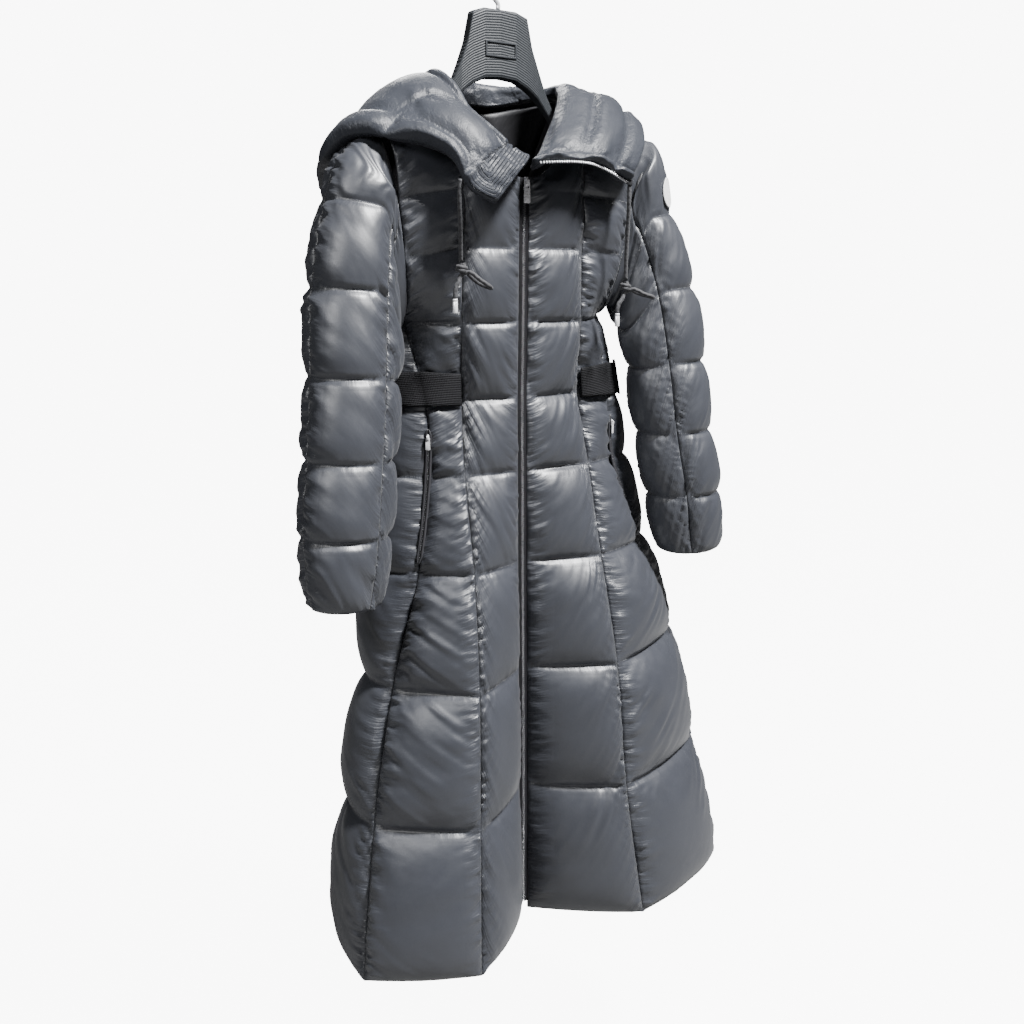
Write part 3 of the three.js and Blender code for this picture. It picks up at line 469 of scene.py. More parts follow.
BODY = [
    # z, zip y, centre y, sway, spread, princess, flank, back
    (-297, -61, 82, 6, 0, (94, -57), (140, 80), (94, 88)),
    (-370, -59, 90, 6, 0, (95, -56), (142, 80), (95, 94)),
    (-467, -58, 88, 7, 0, (96, -52), (170, 36), (93, 92)),
    (-570, -56, 80, 15, 8, (96, -35), (172, 18), (88, 80)),
    (-672, -57, 84, 14, 18, (103, -57), (188, 16), (92, 88)),
    (-804, -58, 92, 13, 44, (107, -89), (200, 38), (98, 100)),
    (-963, -60, 102, 10, 84, (117, -124), (204, 44), (110, 116)),
    (-1149, -62, 112, 6, 86, (126, -146), (230, 48), (125, 132)),
    (-1354, -64, 124, 10, 72, (143, -168), (250, 55), (140, 150)),
]
SIDE_SEAM = [(157, -2), (147, -27), (144, -29), (167, -41), (204, -36), (244, -58), (285, -92)]
FRONT_PUFF = [3, 9, 12, 14, 17, 23, 29, 33, 33]
BACK_PUFF = [3, 9, 12, 13, 15, 20, 24, 27, 27]
BELT_HEIGHT, BELT_PINCH = -556, 34
LEAN = [0.3, 0.1, 0, 0, 0.1, 0.15, 0.15, 0.15, 0.15, 0.15]
ROWS = list(range(10))
CENTRE_ROWS = [0, 2, 3, 4, 5, 6, 7, 8, 9]


def neck_point(sign, angle):
    """A point of the neck seam, from the zip at 0 degrees to the centre back at 180."""
    turn = np.cos(np.radians(angle))
    deep = np.where(turn > 0, 66.0, 60.0)
    drop = np.where(turn > 0, 111.0, 16.0)
    reach = np.abs(turn)
    return point(
        sign * 95 * np.sin(np.radians(angle)) + ZIP_X,
        4 - np.sign(turn) * deep * reach,
        -168 - drop * reach ** 1.4,
    )


def column(sign, key, top, share):
    """A long seam from its top down the body's rows. The left side spreads by its share."""
    points = [
        (sign * row[key][0] + row[3] + (row[4] * share if sign > 0 else 0), row[key][1], row[0])
        for row in BODY
    ]
    return np.array([top, *points], float)


SEAMS = {}
for sign in SIDES.values():
    shoulder = neck_point(sign, 90.0)
    tip_point = ring_point(sign, 0.0, -90.0)
    zip_x = ZIP_X + sign * (ZIP_HALF + SEAM_GAP / 2)
    zip_top = neck_point(sign, 0.0)
    centre_top = neck_point(sign, 180.0)
    SEAMS[sign] = {
        "zip": np.array([(zip_x, zip_top[1], zip_top[2]), *((zip_x, r[1], r[0]) for r in BODY)]),
        "princess": column(sign, 5, shoulder, 0),
        "flank": column(sign, 6, (shoulder + tip_point) / 2, 1),
        "back": column(sign, 7, shoulder, 0.4),
        "centre": np.array(
            [(BODY[0][3], centre_top[1], centre_top[2]), *((r[3], r[2], r[0]) for r in BODY)]
        ),
        "below": np.array([
            (
                sign * x + BODY[i + 2][3] + (BODY[i + 2][4] if sign > 0 else 0),
                y,
                -464 if i == 0 else BODY[i + 2][0],
            )
            for i, (x, y) in enumerate(SIDE_SEAM)
        ]),
    }


def armhole_angle(t):
    """Where the body's rows meet the armhole's ring, from its top to the armpit."""
    return np.interp(t, [0, 1, 2, 3], [-90, -18, 18, 90])


def edge_point(sign, t, front):
    """The body's side edge: down the armhole for three rows, then down the side seam."""
    below = SEAMS[sign]["below"]
    low = along(below, np.maximum(t - 3, 0))
    angle = armhole_angle(np.minimum(t, 3))
    p = ring_point(sign, np.zeros_like(t), angle if front else 180 - angle)
    under = ease(clamp01(t - 2))
    p[..., 0] -= sign * (1.1 + 8 * under)
    share = (under ** 3)[..., None]
    p = p * (1 - share) + below[0] * share
    return np.where((t >= 3)[..., None], low, p)


def seam_place(sign, seam, t):
    if seam in ("front_edge", "back_edge"):
        return edge_point(sign, t, seam == "front_edge")
    return along(SEAMS[sign][seam], t)


def plan_normal(before, after, sign, lean):
    d = after - before
    flat = unit(point(sign * d[..., 1], -sign * d[..., 0], 0 * lean))
    flat[..., 2] = lean
    return unit(flat)


def seam_normal(sign, seam, t):
    lean = along(LEAN, t)
    place = lambda name: seam_place(sign, name, t)
    if seam == "zip":
        return unit(point(0 * lean, -1 + 0 * lean, lean))
    if seam == "centre":
        return unit(point(0 * lean, 1 + 0 * lean, lean))
    if seam in ("front_edge", "back_edge"):
        side = plan_normal(place("princess"), place("flank"), sign, lean)
        angle = armhole_angle(np.minimum(t, 2.99))
        ring = ring_normal(sign, np.zeros_like(t), angle if seam == "front_edge" else 180 - angle)
        under = ease(clamp01(t - 2))[..., None]
        ring = unit(ring * (1 - under) + np.array([sign, 0.0, 0.0]) * under)
        return np.where((t >= 3)[..., None], side, ring)
    before, after = {
        "princess": ("zip", "front_edge"), "flank": ("back_edge", "back"),
        "back": ("flank", "centre"),
    }[seam]
    n = plan_normal(place(before), place(after), sign, lean)
    up = np.where(t < 1, (1 - np.minimum(t, 1)) ** 2, 0)[..., None]
    return unit(n * (1 - up) + np.array([0, 0, 1.0]) * up)


PANELS = {
    "front_centre": ("zip", "princess", None, CENTRE_ROWS, "front"),
    "front_side": ("princess", "front_edge", None, ROWS, None),
    "back_side": ("back_edge", "back", "flank", ROWS, None),
    "back_centre": ("back", "centre", None, ROWS, "back"),
}


def panel_base(panel, sign, u, t):
    """A body panel without its filling: its points, which way is out, and its width."""
    start, end, via, rows, neck = PANELS[panel]
    a, b = seam_place(sign, start, t), seam_place(sign, end, t)
    u3 = u[..., None]
    normal = unit(seam_normal(sign, start, t) * (1 - u3) + seam_normal(sign, end, t) * u3)
    width = np.linalg.norm(b - a, axis=-1)
    k = (SEAM_GAP / 2 / width) * (1 - u) + (1 - SEAM_GAP / 2 / width) * u
    p = a + (b - a) * k[..., None]
    hump = (4 * k * (1 - k))[..., None]
    if via:
        p = p + (seam_place(sign, via, t) - (a + b) / 2) * hump
        normal = unit(normal + (seam_normal(sign, via, t) - normal) * hump * 0.7)
    else:
        p = p + normal * hump * 0.05 * width[..., None]
    top = clamp01(1 - t)
    reach = u if neck == "front" else 1 - u
    if neck:
        turn = np.degrees(np.arcsin(clamp01(reach)))
        curve = neck_point(sign, turn if neck == "front" else 180 - turn)
        first, last = SEAMS[sign][start][0], SEAMS[sign][end][0]
        lift = curve - (first + (last - first) * u3)
        lift[..., 0] = 0
        p = p + lift * (top ** 1.5)[..., None]
    share = reach ** 2 if neck else np.ones_like(u)
    p = p + normal * (np.where(t < 1, 17 * 4 * t * (1 - t), 0) * share)[..., None]
    return p, normal, width


def panel_puff(panel, u, t, z, width):
    """The filling's height. It is pressed flat under the belt, at the armpit and at the neck."""
    rows = PANELS[panel][3]
    cell, k = cell_of(rows, t)
    under_belt = 0.75 * np.exp(-(((z - BELT_HEIGHT) / BELT_PINCH) ** 2))
    pinch = 0 if panel == "front_centre" else under_belt
    pressed = 0.3 + 0.7 * ease(clamp01(t))
    puffs, share = (FRONT_PUFF, 0.19) if panel.startswith("front") else (BACK_PUFF, 0.17)
    tall = np.array([puffs[rows[i + 1] - 1] for i in range(len(rows) - 1)], float)[cell]
    most = np.minimum(tall, share * width)
    outward = {"front_side": u, "back_side": 1 - u}.get(panel, 0 * u)
    armpit = ease(outward) * np.exp(-((t - 2.5) ** 2))
    return most * swell(k) * swell(u) * (1 - pinch) * pressed * (1 - 0.85 * armpit)


# Each panel is drawn as a fine net of points, and all the nets settle together as cloth: the
# seams are held, the cloth is a little longer than they are, and the filling presses it out.
CELL_MM = 5.6


def net_steps(rows, heights):
    """Places down the rows, in even steps of about one cell of the net."""
    ts, marks = [0.0], [0]
    for start, end, height in zip(rows, rows[1:], heights):
        n = max(4, 2 * round(height / CELL_MM / 2))
        ts += [start + (end - start) * (i + 1) / n for i in range(n)]
        marks.append(len(ts) - 1)
    return np.array(ts), marks


body_heights = [118] + [BODY[i][0] - BODY[i + 1][0] for i in range(len(BODY) - 1)]
body_ts, body_marks = net_steps(ROWS, body_heights)
sleeve_ts, sleeve_marks = net_steps(range(8), [60, 62, 100, 106, 103, 96, 91])
PANEL_WIDTH = {"front_centre": 100, "front_side": 128, "back_side": 150, "back_centre": 108}
SLEEVE_PANEL_WIDTH = 115
nets = []


def panel_grid(width, ts, top):
    """A net's places across and down a panel. Its first row lies just below the seam."""
    us = np.linspace(0, 1, 2 * round(width / CELL_MM / 2) + 1)
    u, t = np.meshgrid(us, ts, indexing="ij")
    return u, np.maximum(t, top)


def add_net(name, base, normal, puff, marks, side_marks=None):
    """marks are the net's cross seams, and side_marks its long ones, the two edges if none."""
    side_marks = side_marks or [0, len(base) - 1]
    held = np.zeros(base.shape[:2])
    held[side_marks, :] = 1
    held[:, marks] = 1
    nets.append({
        "name": name, "base": base, "normal": normal, "puff": puff, "held": held,
        "marks": marks, "side_marks": side_marks,
    })


for side, sign in SIDES.items():
    for panel, (start, end, via, rows, neck) in PANELS.items():
        u, t = panel_grid(PANEL_WIDTH[panel], body_ts, 0.003)
        base, normal, width = panel_base(panel, sign, u, t)
        puff = panel_puff(panel, u, t, base[..., 2], width)
        add_net(f"{panel}_{side}", base, normal, puff, [body_marks[row] for row in rows])
    for panel, (start, end) in SLEEVE_PANELS.items():
        trim = math.copysign(0.45, end - start)
        u, t = panel_grid(SLEEVE_PANEL_WIDTH, sleeve_ts, 0.012)
        angle = (start + trim) * (1 - u) + (end - trim) * u
        base, normal = sleeve_base(sign, t, angle)
        add_net(
            f"sleeve_{panel}_{side}", base, normal, sleeve_puff(t, angle, u),
            [sleeve_marks[row] for row in SLEEVE_SEAMS],
        )


# The hood is two padded halves that meet at the centre back. Each stands up from the neck seam
# to a fold, and is turned out over it down to its rim, so its inside shows.
HOOD = {
    "right": [
        # place round the neck, fold, crest, rim
        (4, (-13, -94, -262), (-45, -114, -285), (-78, -121, -318)),
        (14, (-40, -90, -250), (-78, -110, -268), (-112, -116, -302)),
        (32, (-56, -73, -230), (-95, -90, -233), (-127, -97, -264)),
        (52, (-69, -46, -203), (-116, -62, -207), (-158, -76, -246)),
        (72, (-80, -15, -166), (-132, -26, -183), (-186, -58, -242)),
        (90, (-84, 12, -150), (-150, 4, -178), (-213, -37, -235)),
        (108, (-78, 38, -152), (-162, 38, -192), (-235, -8, -240)),
        (126, (-64, 60, -155), (-158, 90, -230), (-245, 34, -265)),
        (144, (-44, 76, -156), (-116, 132, -320), (-206, 122, -276)),
        (162, (-20, 84, -159), (-58, 148, -392), (-102, 172, -250)),
        (180, (3, 86, -160), (3, 154, -412), (3, 192, -240)),
    ],
    "left": [
        (4, (8, -95, -262), (78, -109, -260), (150, -97, -280)),
        (22, (26, -80, -244), (100, -94, -237), (174, -82, -256)),
        (44, (60, -50, -207), (130, -64, -203), (204, -54, -225)),
        (66, (94, -16, -165), (156, -26, -169), (224, -20, -199)),
        (88, (112, 16, -149), (172, 12, -161), (232, 12, -190)),
        (108, (100, 40, -152), (170, 56, -182), (238, 50, -210)),
        (126, (72, 60, -151), (146, 96, -236), (222, 98, -246)),
        (144, (48, 76, -156), (106, 134, -330), (170, 142, -256)),
        (162, (26, 84, -159), (54, 149, -394), (86, 178, -246)),
        (180, (3, 86, -160), (3, 154, -412), (3, 192, -240)),
    ],
}
NECK_GAP = 5.9
HOOD_PUFF = [0, 6.5, 9, 11]
HOOD_SEAMS = {"right": [0, 1.1, 3.5, 6.5, 10], "left": [0, 0.45, 3.5, 6.5, 9]}
HOOD_ROWS = {"right": [0, 1.0, 1.3, 2.5, 3], "left": [0, 1.0, 1.75, 2.45, 3]}


def hood_base(side, s, w):
    """The middle of the hood's wall: s goes round the neck, w from the neck out to the rim."""
    rows = HOOD[side]
    fold, crest, rim = (along(np.array([row[k] for row in rows], float), s) for k in (1, 2, 3))
    neck = neck_point(SIDES[side], along([row[0] for row in rows], s))
    rise = unit(fold - neck)
    neck = neck + rise * NECK_GAP
    neck[..., 2] += 2.5 * np.hypot(rise[..., 0], rise[..., 1]) + NECK_GAP
    rows = np.stack([neck, fold, crest, rim])
    i = np.clip(np.floor(w).astype(int), 0, 2)
    pick = lambda n: np.take_along_axis(rows, np.clip(i + n, 0, 3)[None, ..., None], 0)[0]
    return curved(*(pick(n) for n in (-1, 0, 1, 2)), (w - i)[..., None])


def hood_normal(side, s, w):
    last = len(HOOD[side]) - 1
    near = lambda value, step, most: np.clip(value + step, 0, most)
    ds = hood_base(side, near(s, 0.02, last), w) - hood_base(side, near(s, -0.02, last), w)
    dw = hood_base(side, s, near(w, 0.02, 3)) - hood_base(side, s, near(w, -0.02, 3))
    n = unit(np.cross(dw, ds) * SIDES[side])
    n[..., 0] *= clamp01((last - s) * 2)
    return unit(n)


for side in SIDES:
    last = len(HOOD[side]) - 1
    seams, rows = np.array(HOOD_SEAMS[side], float), np.array(HOOD_ROWS[side], float)
    stations, station_marks = net_steps(seams, np.diff(seams) * 46)
    ws, w_marks = net_steps(rows, np.diff(rows) * np.where(rows[:-1] < 2.3, 44, 56))
    s, w = np.meshgrid(stations, ws, indexing="ij")
    slant = 0.8 if side == "right" else 0
    slanted = s + slant * np.sin(math.pi * s / last) * (np.maximum(w, 1) - 1.75)
    cell, k = cell_of(HOOD_SEAMS[side], s)
    s = np.minimum(slanted, last - 0.01)
    base, normal = hood_base(side, s, w), hood_normal(side, s, w)
    row, r = cell_of(HOOD_ROWS[side], w)
    behind = ease(clamp01((along([r[0] for r in HOOD[side]], s) - 110) / 40))
    tab = clamp01((1.25 - s) * 6) if side == "right" else 0 * s
    roll = (row == 3) * (1 - tab)
    swelling = swell(k) * swell(r) * np.array(HOOD_PUFF)[row]
    half = 2.5 + 2.5 * clamp01(w * 1.5)
    end = np.sqrt(clamp01(1 - ((w - 2.5) / 0.5).clip(0, 1) ** 6))
    for face, share in ((1, 1 - 0.7 * behind), (-1, behind * clamp01((w - 1.6) * 2))):
        share = np.maximum(share * (1 - 0.85 * tab), 0.8 * roll)
        name = f"hood_{side}_{'front' if face > 0 else 'back'}"
        thick = (half * end - CLOTH_OUT).clip(0.3) + 0 * s
        add_net(
            name, base + face * normal * thick[..., None], face * normal, swelling * share,
            w_marks, station_marks,
        )
        nets[-1]["tab"] = tab
        nets[-1]["crimp"] = 0.55


def distances(net):
    """How far each point lies from the nearest long seam and the nearest cross seam, in mm."""
    p = net["base"]
    u_mm = np.zeros(p.shape[:2])
    v_mm = np.zeros(p.shape[:2])
    u_mm[1:] = np.cumsum(np.linalg.norm(np.diff(p, axis=0), axis=2), axis=0)
    v_mm[:, 1:] = np.cumsum(np.linalg.norm(np.diff(p, axis=1), axis=2), axis=1)
    side_gap = np.min([np.abs(u_mm - u_mm[m:m + 1]) for m in net["side_marks"]], axis=0)
    row_gap = np.min([np.abs(v_mm - v_mm[:, m:m + 1]) for m in net["marks"]], axis=0)
    return u_mm, v_mm, side_gap, row_gap


def ruffle(seed, u_mm, v_mm, long_mm, short_mm):
    """Even seeded hills, long one way and short the other, between -1 and 1."""
    seed = np.random.default_rng(seed)
    a, b = u_mm / long_mm + 3, v_mm / short_mm + 3
    hills = seed.uniform(-1, 1, (int(a.max()) + 4, int(b.max()) + 4))
    i, j = np.floor(a).astype(int), np.floor(b).astype(int)
    fa, fb = ease(a - i), ease(b - j)
    low = hills[i, j] * (1 - fa) + hills[i + 1, j] * fa
    high = hills[i, j + 1] * (1 - fa) + hills[i + 1, j + 1] * fa
    return low * (1 - fb) + high * fb


RIDGE_HEIGHT, TUCK_HEIGHT, FOLD_HEIGHT = 3.4, 0.7, 2.0


def gathers(net, seed, u_mm, v_mm, side_gap, row_gap):
    """The gathered cloth's height in mm: ridges that run in from the long seams, shorter tucks
    below and above the cross seams, and a few soft folds in between."""
    crimp = net.get("crimp", 1.0)
    start = clamp01(side_gap / 3)
    ridges = ruffle(seed, u_mm, v_mm + 0.25 * u_mm, 20, 5.5) + 0.5 * ruffle(
        seed + 1, u_mm, v_mm - 0.25 * u_mm, 14, 4
    )
    patches = 0.35 + 0.85 * clamp01(0.5 + 0.9 * ruffle(seed + 2, u_mm, v_mm, 60, 34))
    near_side = start * np.exp(-((side_gap / 17) ** 1.4))
    height = RIDGE_HEIGHT * crimp * ridges * patches * near_side
    tucks = ruffle(seed + 3, u_mm + 0.2 * v_mm, v_mm, 9, 26)
    near_row = clamp01(row_gap / 4) * np.exp(-((row_gap / 12) ** 1.4))
    height += TUCK_HEIGHT * crimp * tucks * near_row
    folds = ruffle(seed + 4, u_mm - v_mm + 1500, u_mm + v_mm, 80, 11)
    loose = clamp01(0.25 + 1.1 * ruffle(seed + 5, u_mm, v_mm, 90, 120))
    inside = clamp01(side_gap / 14) * clamp01(row_gap / 14)
    height += FOLD_HEIGHT * crimp * folds * loose * inside
    return height


SETTLE_FRAMES = 22
NYLON_CLOTH = {
    "quality": 4, "mass": 0.12, "air_damping": 3, "tension_stiffness": 18,
    "compression_stiffness": 18, "shear_stiffness": 6, "bending_stiffness": 3.0,
    "tension_damping": 8, "compression_damping": 8, "vertex_group_mass": "seams",
    "pin_stiffness": 1, "vertex_group_shrink": "slack", "shrink_min": 0.0, "shrink_max": -0.05,
    "use_pressure": True, "uniform_pressure_force": 6,
}


def faces_back(grid, normal):
    """Whether a net's faces, wound along its rows and then down them, turn from the normal."""
    i, j = grid.shape[0] // 2, grid.shape[1] // 2
    turn = np.cross(grid[i + 1, j] - grid[i, j], grid[i, j + 1] - grid[i, j])
    return np.dot(turn, normal) < 0


def settle(nets):
    """Runs the cloth once for all the nets and gives each its settled points."""
    seed = np.random.default_rng(7)
    points, faces, pins, slack = [], [], [], []
    for net in nets:
        offset = sum(len(p) for p in points)
        nu, nv = net["base"].shape[:2]
        number = len(points)
        u_mm, v_mm, side_gap, row_gap = distances(net)
        ridges = ruffle(number, u_mm, v_mm, 34, 11) * np.exp(-((side_gap / 28) ** 2))
        folds = ruffle(number + 50, u_mm + 0.5 * v_mm, v_mm - 0.4 * u_mm + 400, 70, 28)
        rise = CLOTH_OUT + 0.88 * net["puff"] + (1 - net["held"]) * (2.6 * ridges + 1.3 * folds)
        start = net["base"] + net["normal"] * rise[..., None]
        near = np.exp(-((side_gap / 24) ** 2)) + 0.25 * np.exp(-((row_gap / 14) ** 2))
        uneven = 0.85 + 0.3 * seed.random((nu, nv))
        slack.append(clamp01(near * uneven).ravel())
        points.append(start.reshape(-1, 3) * MM)
        pins.append(net["held"].ravel())
        i, j = np.meshgrid(np.arange(nu - 1), np.arange(nv - 1), indexing="ij")
        a = offset + i * nv + j
        quad = np.stack([a, a + nv, a + nv + 1, a + 1], -1).reshape(-1, 4)
        if faces_back(start, net["normal"][nu // 2, nv // 2]):
            quad = quad[:, ::-1]
        faces.append(quad)
    mesh = bpy.data.meshes.new("cloth_net")
    mesh.from_pydata(np.concatenate(points).tolist(), [], np.concatenate(faces).tolist())
    cloth = bpy.data.objects.new("cloth_net", mesh)
    bpy.context.collection.objects.link(cloth)
    pin_group = cloth.vertex_groups.new(name="seams")
    slack_group = cloth.vertex_groups.new(name="slack")
    held = np.concatenate(pins) > 0.5
    pin_group.add(np.nonzero(held)[0].tolist(), 1.0, "REPLACE")
    levels = np.round(np.concatenate(slack) * 20).astype(int)
    for level in range(21):
        slack_group.add(np.nonzero(levels == level)[0].tolist(), level / 20, "REPLACE")
    modifier = cloth.modifiers.new("cloth", "CLOTH")
    for name, value in NYLON_CLOTH.items():
        setattr(modifier.settings, name, value)
    modifier.settings.effector_weights.gravity = 0.25
    modifier.collision_settings.use_collision = False
    modifier.collision_settings.use_self_collision = False
    modifier.point_cache.frame_start = 1
    modifier.point_cache.frame_end = SETTLE_FRAMES
    for number in range(1, SETTLE_FRAMES + 1):
        bpy.context.scene.frame_set(number)
    evaluated = cloth.evaluated_get(bpy.context.evaluated_depsgraph_get())
    settled = np.empty(len(mesh.vertices) * 3)
    evaluated.data.vertices.foreach_get("co", settled)
    settled = settled.reshape(-1, 3) / MM
    bpy.data.objects.remove(cloth)
    bpy.context.scene.frame_set(1)
    offset = 0
    for net in nets:
        size = net["base"].shape[0] * net["base"].shape[1]
        net["settled"] = settled[offset:offset + size].reshape(net["base"].shape)
        offset += size


settle(nets)

MOST_MOVE = 9.0
for net in nets:
    rest = net["base"] + net["normal"] * (CLOTH_OUT + net["puff"])[..., None]
    move = net.get("settled", rest) - rest
    size = np.linalg.norm(move, axis=2, keepdims=True)
    net["settled"] = rest + move * np.minimum(1, MOST_MOVE / np.maximum(size, 1e-6))


# The nylon is thin, close-woven and satin, near black. It gathers along the long seams and
# shows fine creases and a line of stitches in each cross seam.
nylon = Finish("down_nylon", 0.42)
side_gap = nylon.attribute("side_gap")
row_gap = nylon.attribute("row_gap")
pulls = nylon.noise("UV", (34, 210, 1), 3, 0.55)
near_side = nylon.ramp(side_gap, 0.001, 0.030, 1.0, 0.0)
nylon.bump(nylon.math("MULTIPLY", pulls, near_side), 0.004, 0.6)
tucks = nylon.noise("UV", (170, 34, 1), 3, 0.55)
near_row = nylon.ramp(row_gap, 0.001, 0.013, 1.0, 0.0)
nylon.bump(nylon.math("MULTIPLY", tucks, near_row), 0.002, 0.4)
nylon.bump(nylon.noise("UV", (26, 26, 1), 3, 0.5), 0.004, 0.2)
nylon.bump(nylon.noise("UV", (900, 900, 1), 2, 0.6), 0.0002, 0.25)
stitch = nylon.math("LESS_THAN", row_gap, 0.0009)
dash = nylon.math("GREATER_THAN", nylon.wave("UV", (105, 0.001, 1), "X"), 0.35)
nylon.bump(nylon.math("MULTIPLY", stitch, dash), 0.0006, 0.8)
nylon.tint(nylon.noise("UV", (14, 14, 1), 4), (0.021, 0.023, 0.030), (0.030, 0.033, 0.042))
nylon.wear("UV", (60, 60, 1), 0.40, 0.48, 4, (0.25, 0.75))
nylon.set(Specular_IOR_Level=0.85, Sheen_Weight=0.06, Sheen_Roughness=0.5)
lining = Finish("lining_cloth", 0.55)
lining.bump(lining.noise("UV", (30, 9, 1), 4, 0.6), 0.006, 0.5)
lining.tint(lining.noise("UV", (20, 20, 1)), (0.011, 0.011, 0.013), (0.018, 0.018, 0.021))


def finer(grid):
    """Twice as many points each way, on smooth curves through the old ones."""
    for axis in (0, 1):
        grid = np.moveaxis(grid, axis, 0)
        n = len(grid)
        padded = np.concatenate([2 * grid[:1] - grid[1:2], grid, 2 * grid[-1:] - grid[-2:-1]])
        half = (-padded[:-3] + 9 * padded[1:-2] + 9 * padded[2:-1] - padded[3:]) / 16
        out = np.empty((2 * n - 1, *grid.shape[1:]))
        out[0::2] = grid
        out[1::2] = half
        grid = np.moveaxis(out, 0, axis)
    return grid


def rim_faces(fine, coarse, ratio):
    """Triangles between a fine edge and a coarse one beside it."""
    out = []
    for k in range(len(coarse) - 1):
        a, b = coarse[k], coarse[k + 1]
        run = fine[k * ratio:(k + 1) * ratio + 1]
        middle = len(run) // 2
        for m in range(len(run) - 1):
            out.append((a if m < middle else b, run[m + 1], run[m]))
        out.append((a, b, run[middle]))
    return out


def padded_wall(net, outer, inner, uvs, values, finish, ratio=4):
    """A closed wall: a fine outer net, and an inner face of every fourth point or of all."""
    nu, nv = outer.shape[:2]
    outer_at = np.arange(nu * nv).reshape(nu, nv)
    iu, iv = inner.shape[:2]
    inner_at = nu * nv + np.arange(iu * iv).reshape(iu, iv)
    quad = lambda g: np.stack([g[:-1, :-1], g[1:, :-1], g[1:, 1:], g[:-1, 1:]], -1).reshape(-1, 4)
    faces = quad(outer_at).tolist()
    n_outer = len(faces)
    faces += quad(inner_at)[:, ::-1].tolist()
    edges = [
        (outer_at[0], inner_at[0], True), (outer_at[-1], inner_at[-1], False),
        (outer_at[:, 0], inner_at[:, 0], False), (outer_at[:, -1], inner_at[:, -1], True),
    ]
    for fine, coarse, flip in edges:
        for face in rim_faces(fine.tolist(), coarse.tolist(), ratio):
            faces.append(face[::-1] if flip else face)
    points = np.concatenate([outer.reshape(-1, 3), inner.reshape(-1, 3)]) * MM
    if faces_back(outer, outer[nu // 2, nv // 2] - inner[iu // 2, iv // 2]):
        faces = [tuple(face)[::-1] for face in faces]
    slots = [0] * n_outer + [1] * (len(faces) - n_outer)
    stretch = lambda v: np.concatenate([v.reshape(-1), v[::ratio, ::ratio].reshape(-1)])
    return mesh_piece(
        net["name"] + "_cloth", points, faces, finish,
        np.stack([stretch(uvs[0]), stretch(uvs[1])], -1), slots,
        {key: stretch(value) for key, value in values.items()},
    )


LEAST_WALL = 1.8


def dressed(net, seed):
    """The settled net at twice its fineness with its gathers, and its measures in mm."""
    names = ("u", "v", "side", "row")
    fine = {
        key: np.maximum(0, finer(v[..., None])[..., 0]) for key, v in zip(names, distances(net))
    }
    height = gathers(net, seed, fine["u"], fine["v"], fine["side"], fine["row"])
    settled, normal = finer(net["settled"]), finer(net["normal"])
    depth = ((settled - finer(net["base"])) * normal).sum(-1) + CLOTH_IN
    height = np.maximum(height, LEAST_WALL - depth)
    return settled + normal * height[..., None], {key: v * MM for key, v in fine.items()}


for number, net in enumerate(nets):
    if net["name"].startswith("hood"):
        continue
    outer, fine = dressed(net, 100 + 10 * number)
    inner = (net["base"] - net["normal"] * CLOTH_IN)[::2, ::2]
    shift = number * 0.37
    piece = padded_wall(
        net, outer, inner, (fine["u"] + shift, fine["v"]),
        {"side_gap": fine["side"], "row_gap": fine["row"]}, [nylon, lining],
    )
    fitted(piece, "shell", net["name"])


# The hood's two faces close into one padded piece on each side. Its front corner on the right
# is a flat tab, stitched in nested rows.
hood_nylon = Finish("hood_nylon", 0.5)
hood_side = hood_nylon.attribute("side_gap")
hood_row = hood_nylon.attribute("row_gap")
hood_near = hood_nylon.ramp(hood_nylon.math("MINIMUM", hood_side, hood_row), 0, 0.026, 1, 0)
hood_pull = hood_nylon.noise("UV", (85, 85, 1), 4, 0.6)
hood_nylon.bump(hood_nylon.math("MULTIPLY", hood_pull, hood_near), 0.005, 0.55)
hood_nylon.bump(hood_nylon.noise("UV", (30, 30, 1), 4, 0.6), 0.004, 0.22)
hood_nylon.bump(hood_nylon.noise("UV", (420, 420, 1), 3, 0.6), 0.0006, 0.3)
tab_gap = hood_nylon.attribute("tab_gap")
tab_line = hood_nylon.math("PINGPONG", tab_gap, 0.0022)
hood_nylon.bump(hood_nylon.ramp(tab_line, 0.0, 0.0008, 0, 1), 0.0016, 0.9)
hood_tone = hood_nylon.noise("UV", (16, 16, 1), 4)
hood_nylon.tint(hood_tone, (0.022, 0.024, 0.030), (0.031, 0.034, 0.042))
hood_nylon.wear("UV", (60, 60, 1), 0.40, 0.50, 4, (0.25, 0.75))
hood_nylon.set(Sheen_Weight=0.03, Specular_IOR_Level=0.26)
by_name = {net["name"]: (number, net) for number, net in enumerate(nets)}
for side in SIDES:
    number, front = by_name[f"hood_{side}_front"]
    back_number, back = by_name[f"hood_{side}_back"]
    outer, fine = dressed(front, 700 + number)
    inner, back_fine = dressed(back, 700 + back_number)
    for edge in (np.s_[0, :], np.s_[-1, :], np.s_[:, 0], np.s_[:, -1]):
        inner[edge] += (outer[edge] - inner[edge]) * 0.12
        outer[edge] += (inner[edge] - outer[edge]) * 0.12
    tab = finer(front["tab"][..., None])[..., 0]
    edge_s, edge_w = fine["u"], fine["v"][:, -1:] - fine["v"]
    past_fold = fine["v"] > fine["v"][:, front["marks"][1] * 2][:, None]
    tab_mm = np.where((tab > 0.5) & past_fold, np.minimum(edge_s, edge_w), 0.0011)
    piece = padded_wall(
        {"name": f"hood_{side}"}, outer, inner, (fine["u"] + number, fine["v"]),
        {"side_gap": fine["side"], "row_gap": fine["row"], "tab_gap": tab_mm},
        [hood_nylon, hood_nylon], 1,
    )
    fitted(piece, "shell", f"hood_{side}")


